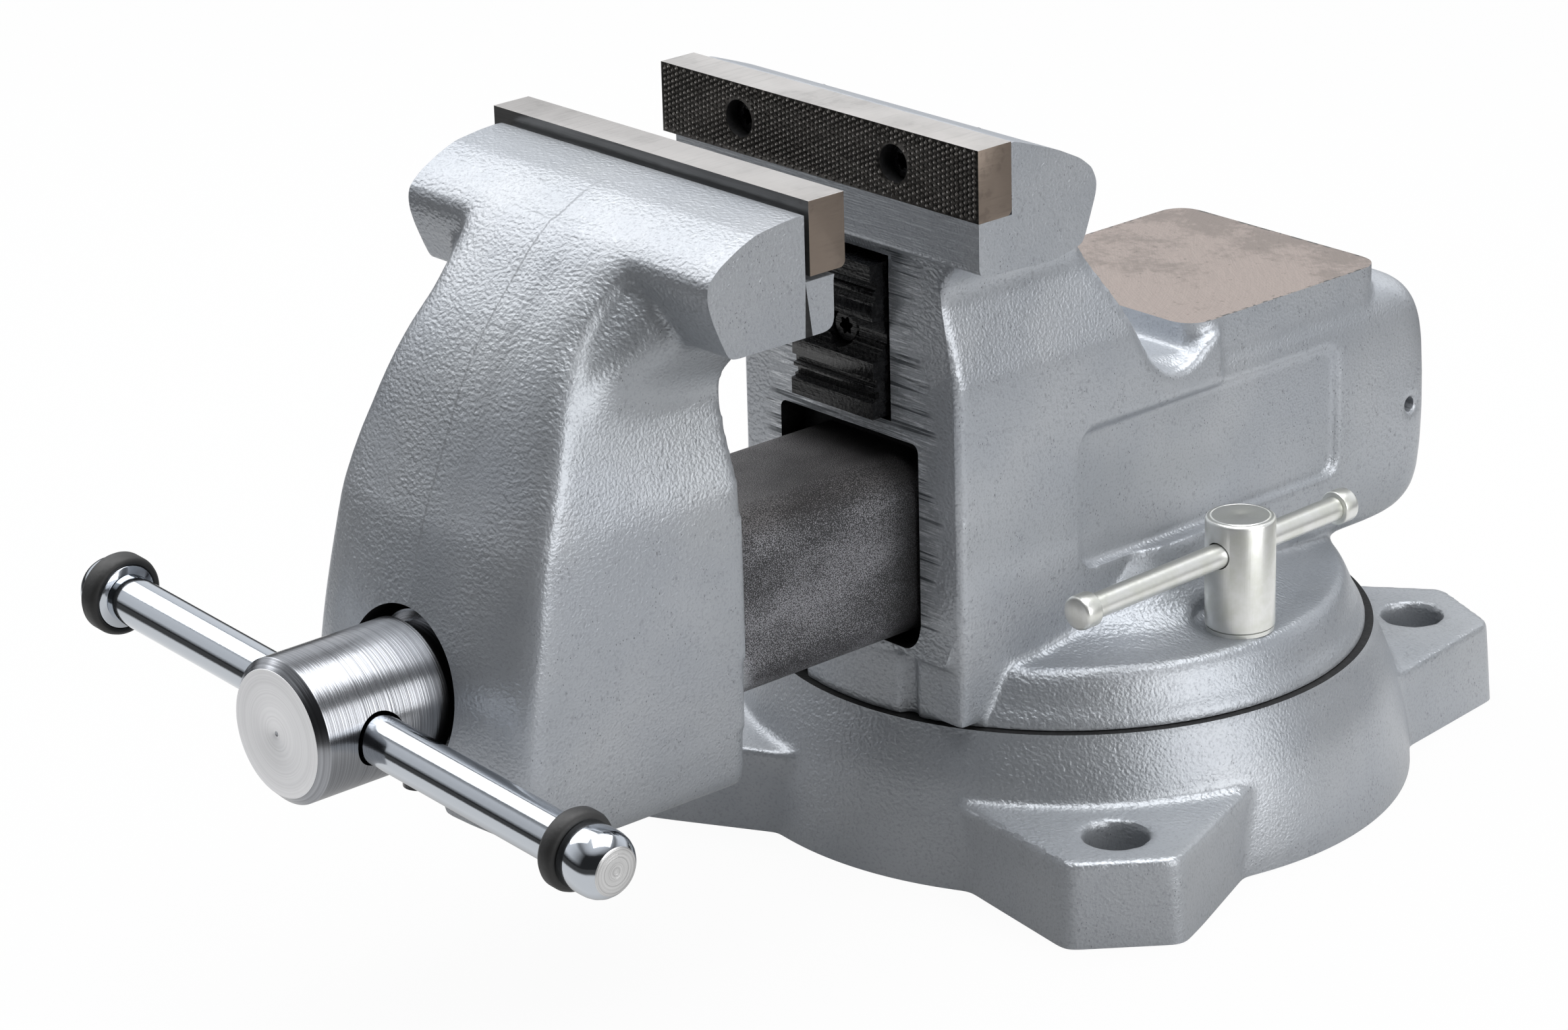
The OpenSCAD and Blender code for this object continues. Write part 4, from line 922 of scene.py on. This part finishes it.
def make_handle():
    bar = lathe("handle_rod", [(0, -91.5), (6.75, -91.5), (6.75, 99.4), (0, 99.4)], HANDLE_AT, 96)
    finish_piece(crisp(bar), "handle_bar", "handle", CHROME)
    for end, seat, way in (("near", 99.8, 1), ("far", -91.9, -1)):
        knob = lathe(end + "_knob_turned", [(r, seat + way * h) for r, h in KNOB], HANDLE_AT)
        finish_piece(crisp(knob, 50), end + "_knob", "handle", CHROME)
    for end, lo, hi, outer, bore in (("near", 94.4, 99.75, 10.8, 6.8),
                                     ("far", -98.45, -91.95, 11.3, 9.13)):
        ring = [(bore, lo + 0.6), (bore + 0.6, lo), (outer - 1.6, lo), (outer - 0.5, lo + 0.4),
                (outer, lo + 1.3), (outer, hi - 1.6), (outer - 0.3, hi - 0.7), (outer - 1.1, hi),
                (bore + 0.5, hi), (bore, hi - 0.4), (bore, lo + 0.6)]
        ob = lathe(end + "_ring_moulded", ring, HANDLE_AT)
        finish_piece(crisp(ob, 60), end + "_ring", "handle", RUBBER)


def make_locks():
    for side, sx in (("right", 1), ("left", -1)):
        upright = frame_at((sx * LOCK_X, 0, 0), (0, 0, 1), (1, 0, 0))
        along = frame_at((sx * LOCK_X, 0, LOCK_BAR_Z),
                         (sx * math.sin(LOCK_YAW), -math.cos(LOCK_YAW), 0), (0, 0, 1))
        bolt = lathe("lock_bolt_turned_" + side, LOCK_BOLT, upright)
        carve(bolt, laid(rod("z", (0, 0), 3.95, -30, 30, 48), along))
        finish_piece(crisp(bolt), "lock_bolt_" + side, "lock_" + side, ZINC)
        bar = lathe("lock_rod_" + side, [(0, -40.5), (3.6, -40.5), (3.6, 62.2), (0, 62.2)],
                    along, 64)
        finish_piece(crisp(bar), "lock_bar_" + side, "lock_bar_" + side, ZINC)
        caps = merged("lock_ends_" + side, [
            lathe("cap", [(r, seat + way * h) for r, h in LOCK_CAP], along, 64)
            for seat, way in ((62.3, 1), (-40.6, -1))])
        finish_piece(crisp(caps, 50), "lock_caps_" + side, "lock_bar_" + side, ZINC)


# jaw plates, pipe jaws and their screws
TEETH_PITCH, TEETH_ROWS = 1.65, 1.58
TEETH_ACROSS, TEETH_UP = 76, 12
TOOTH_TALL = 0.5
PLATE_BACK_Y, PLATE_FACE_Y, PLATE_CORNER = 12.65, 0.5, 1.8


def tooth_mesh():
    """One raised diamond of the serrated plates, pointing to minus Y."""
    w, h, root, top = 0.80, 0.92, 0.15, 0.30
    verts = [(w, root, 0), (0, root, h), (-w, root, 0), (0, root, -h),
             (w, 0, 0), (0, 0, h), (-w, 0, 0), (0, 0, -h),
             (w * top, -TOOTH_TALL, 0.1), (0, -TOOTH_TALL, h * top + 0.1),
             (-w * top, -TOOTH_TALL, 0.1), (0, -TOOTH_TALL, -h * top + 0.1)]
    faces = [[3, 2, 1, 0], [8, 9, 10, 11]]
    for r in (0, 4):
        faces += [[r + i, r + (i + 1) % 4, r + 4 + (i + 1) % 4, r + 4 + i] for i in range(4)]
    return mesh_object("plate_tooth", verts, faces)


def make_teeth(name):
    """A field of diamond teeth in staggered rows, left out round the two screws."""
    tooth = tooth_mesh()
    tree = GrownTree(name + "_teeth", Pitch=TEETH_PITCH * MM, Rows=TEETH_ROWS * MM, Hole=5.9 * MM,
                     Tooth=tooth, Material=KNURL)
    given = tree.given
    grid = tree.add("GeometryNodeMeshGrid", {
        "Vertices X": TEETH_ACROSS, "Vertices Y": TEETH_UP,
        "Size X": given["Pitch"] * (TEETH_ACROSS - 1), "Size Y": given["Rows"] * (TEETH_UP - 1)})
    points = tree.add("GeometryNodeMeshToPoints", {"Mesh": grid.outputs["Mesh"]})
    x, y, z = tree.axes(tree.add("GeometryNodeInputPosition").outputs[0])
    column = tree.math("ROUND", x / given["Pitch"] + (TEETH_ACROSS - 1) / 2)
    stagger = (tree.math("MODULO", column, 2.0) - 0.5) * (given["Rows"] * 0.5)
    place = tree.add("GeometryNodeSetPosition", {
        "Geometry": points.outputs[0],
        "Position": tree.point(x, 0.0, y + stagger + PLATE_MIDDLE * MM)})
    away = tree.length(abs(x) - PLATE_SCREW_X * MM, z - PLATE_MIDDLE * MM)
    pruned = tree.add("GeometryNodeDeleteGeometry", {
        "Geometry": place.outputs[0], "Selection": tree.math("LESS_THAN", away, given["Hole"])})
    info = tree.add("GeometryNodeObjectInfo", {"Object": given["Tooth"]})
    put = tree.add("GeometryNodeInstanceOnPoints", {
        "Points": pruned.outputs[0], "Instance": info.outputs["Geometry"]})
    teeth = tree.grow(put.outputs[0])
    teeth.data.transform(Matrix.Translation((0, TOOTH_TALL * MM, 0)))
    drop(tooth)
    return teeth


def make_plate(name, node, body, face_y, turn):
    """A serrated jaw plate: a ground block with counterbored holes, and teeth on one face.

    turn is 1 for the rear plate, whose teeth look to minus Y, and -1 for the front one."""
    foot, other = (PLATE_BACK_Y, PLATE_FACE_Y)[::turn]
    corner = [(foot - turn * PLATE_CORNER * (1 - math.cos(a)),
               PLATE_LOW + PLATE_CORNER * (1 - math.sin(a)))
              for a in (math.pi / 2 * i / 5 for i in range(6))]
    outline = corner + [(other, PLATE_LOW), (other, JAW_TOP), (foot, JAW_TOP)]
    blank = prism(name + "_block", outline, "x", -JAW_HALF, JAW_HALF)
    for x in (-PLATE_SCREW_X, PLATE_SCREW_X):
        carve(blank, rod("y", (x, PLATE_MIDDLE), 5.3, -5, 9),
              rod("y", (x, PLATE_MIDDLE), 3.24, 5, 20, 48))
    bevelled(blank, 0.35, 2, 40)
    ob = merged(name, [blank, make_teeth(name)])
    ob.data.transform(Matrix.Translation((0, face_y * MM, 0)) @ Matrix.Diagonal((1, turn, 1, 1)))
    fix_normals(ob.data)
    finish_piece(crisp(ob, 25), node, body, PLATE)

    def behind_teeth(c):
        return (c.y - face_y) * turn > 0.52

    face_material(ob, KNURL, lambda c, n: not behind_teeth(c))
    face_material(ob, PLATE_END,
                  lambda c, n: abs(n.x) > 0.6 and abs(c.x) > 60 and behind_teeth(c))
    # painted reflection: the darker steel on the back faces
    face_material(ob, PLATE_BACK, lambda c, n: n.y * turn > 0.6)
    # painted shade: black inside the screw counterbores
    face_material(ob, HOLE_SHADE, lambda c, n: abs(abs(c.x) - PLATE_SCREW_X) < 5.35
                  and abs(c.z - PLATE_MIDDLE) < 5.35 and behind_teeth(c))


def star(r, inner, lobes=6, count=72):
    """Six soft lobes of a driver recess."""
    out = []
    for a in (2 * math.pi * i / count for i in range(count)):
        reach = (r + inner) / 2 + (r - inner) / 2 * math.cos(lobes * a)
        out.append((reach * math.cos(a), reach * math.sin(a)))
    return out


def make_screw(name, head, tall, shank, long, place, edge=0.5):
    """A cap screw along local Z, with the underside of its head at zero."""
    ob = spin(name, [(0, long), (shank - 0.6, long), (shank, long - 0.6), (shank, 0), (head, 0),
                     (head, -tall + edge), (head - edge, -tall), (0, -tall)], 64)
    carve(ob, tool(star(2.7, 1.9), "z", -tall - 1, -tall + 2.6))
    return laid(ob, place)


def make_screws():
    for jaw, body, y, turn in (("rear", "vise_body", -86.4, 1),
                               ("front", "sliding_jaw", -151.1, -1)):
        pair = [make_screw("screw", 5, 5, 3, 24,
                           frame_at((x, y, PLATE_MIDDLE), (0, turn, 0), (1, 0, 0.3)))
                for x in (-PLATE_SCREW_X, PLATE_SCREW_X)]
        finish_piece(crisp(merged(jaw + "_plate_screws_turned", pair)), jaw + "_plate_screws",
                     body, BLACK)
    for jaw, body, y, turn in (("rear", "vise_body", -81.0, 1),
                               ("front", "sliding_jaw", -159.0, -1)):
        ob = make_screw(jaw + "_pipe_screw_turned", 4.8, 4, 3, 22,
                        frame_at((0, y, PIPE_MIDDLE), (0, turn, 0), (1, 0, 0.2)))
        finish_piece(crisp(ob), jaw + "_pipe_screw", body, BLACK)


# height and depth of a pipe jaw's steps, from its foot to its middle
PIPE_STEPS = [(0, 0), (4.7, 0), (4.9, 1.5), (5.7, 1.3), (5.9, 2.6), (7.6, 2.4), (7.9, 0.9),
              (9.0, 0.9), (9.2, 2.0), (11.3, 1.9), (11.6, 0.5), (16.2, 0.6), (16.4, 2.6),
              (17.2, 2.4), (17.4, 3.6), (18.3, 3.4), (18.5, 4.4), (19.5, 4.2), (19.7, 5.2),
              (20.6, 4.9), (20.8, 5.9), (22.25, 6)]
PIPE_FOOT = 132.5


def make_pipe_jaw(jaw, body, seat, peak, turn):
    """A stepped pipe jaw: the same steps above and below the screw, deepest in the middle."""
    low = [(peak + turn * d, PIPE_FOOT + h) for h, d in PIPE_STEPS]
    high = [(y, 2 * PIPE_MIDDLE - z) for y, z in reversed(low[:-1])]
    outline = [(seat, PIPE_FOOT)] + low + high + [(seat, 2 * PIPE_MIDDLE - PIPE_FOOT)]
    ob = prism(jaw + "_pipe_block", outline, "x", -16.5, 16.5)
    screw, outside = (0, PIPE_MIDDLE), peak - turn * 5
    carve(ob, rod("y", screw, 5.4, *sorted((outside, peak + turn * 10))),
          rod("y", screw, 3.3, *sorted((outside, seat + turn * 5)), 48))
    crisp(bevelled(ob, 0.18, 1, 35), 40)
    finish_piece(ob, jaw + "_pipe_jaw", body, BLACK)


make_spindle()
make_handle()
make_locks()
make_plate("rear_plate", "rear_jaw_plate", "vise_body", REAR_FACE, 1)
make_plate("front_plate", "front_jaw_plate", "sliding_jaw", FRONT_FACE, -1)
make_screws()
make_pipe_jaw("rear", "vise_body", -72, -91, 1)
make_pipe_jaw("front", "sliding_jaw", -171, -149, -1)


# camera solved from the photograph, in degrees, metres and pixels of its 2380 wide frame
AZIMUTH, ELEVATION, ROLL = 48.55, 20.94, -1.58
CAMERA_AT = (0.95775, -0.95567, 0.59445)
FOCAL_PIXELS, FRAME_WIDTH = 7513.44, 2380


def make_camera():
    az, el, roll = (math.radians(a) for a in (AZIMUTH, ELEVATION, ROLL))
    back = Vector((math.sin(az) * math.cos(el), -math.cos(az) * math.cos(el), math.sin(el)))
    level = Vector((0, 0, 1)).cross(back).normalized()
    upright = back.cross(level)
    right = math.cos(roll) * level + math.sin(roll) * upright
    up = math.cos(roll) * upright - math.sin(roll) * level
    data = bpy.data.cameras.new("camera")
    data.sensor_width = 36.0
    data.sensor_fit = "HORIZONTAL"
    data.lens = data.sensor_width * FOCAL_PIXELS / FRAME_WIDTH
    data.clip_start, data.clip_end = 0.05, 30
    cam = in_scene("camera", data)
    cam.matrix_world = Matrix((*zip(right, up, back, CAMERA_AT), (0, 0, 0, 1)))
    bpy.context.scene.camera = cam


# stage: white floor and soft light
def make_world():
    """White to the camera. For light and reflections, bright overhead and on one side."""
    world = bpy.data.worlds.new("world")
    bpy.context.scene.world = world
    world.use_nodes = True
    w = Tree(world.node_tree)
    x, y, z = w.axes(w.add("ShaderNodeTexCoord").outputs["Generated"])

    def ramp(value, stops):
        """Greys, a little blue, for a value of -1 to 1."""
        return w.ramp(value * 0.5 + 0.5, [(at / 2 + 0.5, (c * 0.98, c, c * 1.03))
                                          for at, c in stops])

    walls = ramp(y * 0.6 - x * 0.8, [(-1, 0.03), (-0.45, 0.03), (-0.12, 0.35), (0.2, 0.8),
                                     (0.45, 1.0), (1, 1.0)])
    overhead = ramp(z, [(-1, 0.03), (0.0, 0.03), (0.62, 0.04), (0.80, 0.7), (1, 1.1)])
    height = ramp(z, [(-1, 0), (0.03, 0), (0.2, 1), (0.56, 1), (0.68, 0)])
    seen = w.add("ShaderNodeLightPath").outputs["Is Camera Ray"]
    colour = w.mix(seen, w.mix(height, overhead, walls), (1, 1, 1))
    w.feed(w.t.nodes["Background"].inputs["Color"], colour)


def make_floor():
    """White to the camera. In reflections a bright ring, with a painted shadow under the part, and
    dimmer far off.
    """
    far, low = 3000, -0.3
    floor = mesh_object("floor", [(-far, -far, low), (far, -far, low), (far, far, low),
                                  (-far, far, low)], [[0, 1, 2, 3]])
    f = Shade("floor")
    f.set(color=(0.5, 0.5, 0.5), rough=0.9)
    ray = f.add("ShaderNodeLightPath")
    camera, glossy = ray.outputs["Is Camera Ray"], ray.outputs["Is Glossy Ray"]
    middle = f.add("ShaderNodeMapping", {"Vector": f.pos, "Location": (0, 0.09, 0)})
    near = f.add("ShaderNodeTexGradient", {0: middle.outputs[0]}, gradient_type="SPHERICAL")
    # painted shadow: the floor in reflections dim under the part
    rings = f.ramp(near.outputs["Fac"], [(at, (c, c, c)) for at, c in
                                         ((0.46, 0.08), (0.56, 0.95), (0.78, 0.95), (0.90, 0.35))])
    glow = f.add("ShaderNodeEmission", {"Color": (1, 1, 1),
                                        "Strength": f.math("MAXIMUM", rings, camera)})
    shown = f.add("ShaderNodeMixShader", {0: f.math("MULTIPLY_ADD", camera, 0.95, glossy),
                                          1: f.p.outputs[0], 2: glow.outputs[0]})
    f.feed(f.t.nodes["Material Output"].inputs["Surface"], shown.outputs[0])
    floor.data.materials.append(f.m)


def make_lamp(name, place, aim, size, power):
    data = bpy.data.lights.new(name, "AREA")
    data.shape = "RECTANGLE"
    data.size, data.size_y = size
    data.energy = power
    lamp = in_scene(name, data)
    lamp.location = place
    lamp.rotation_mode = "QUATERNION"
    lamp.rotation_quaternion = (Vector(aim) - Vector(place)).to_track_quat("-Z", "Y")


make_camera()
make_world()
make_floor()
make_lamp("top_light", (0.1, 0.1, 1.5), (0, -0.05, 0.1), (1.5, 1.5), 27)
make_lamp("left_light", (-1.05, -0.25, 1.15), (0, -0.15, 0.15), (1.1, 1.1), 10)
make_lamp("right_light", (1.6, 0.16, 0.45), (0, 0, 0.08), (1.3, 1.2), 19)

bpy.context.scene.view_settings.view_transform = "Standard"
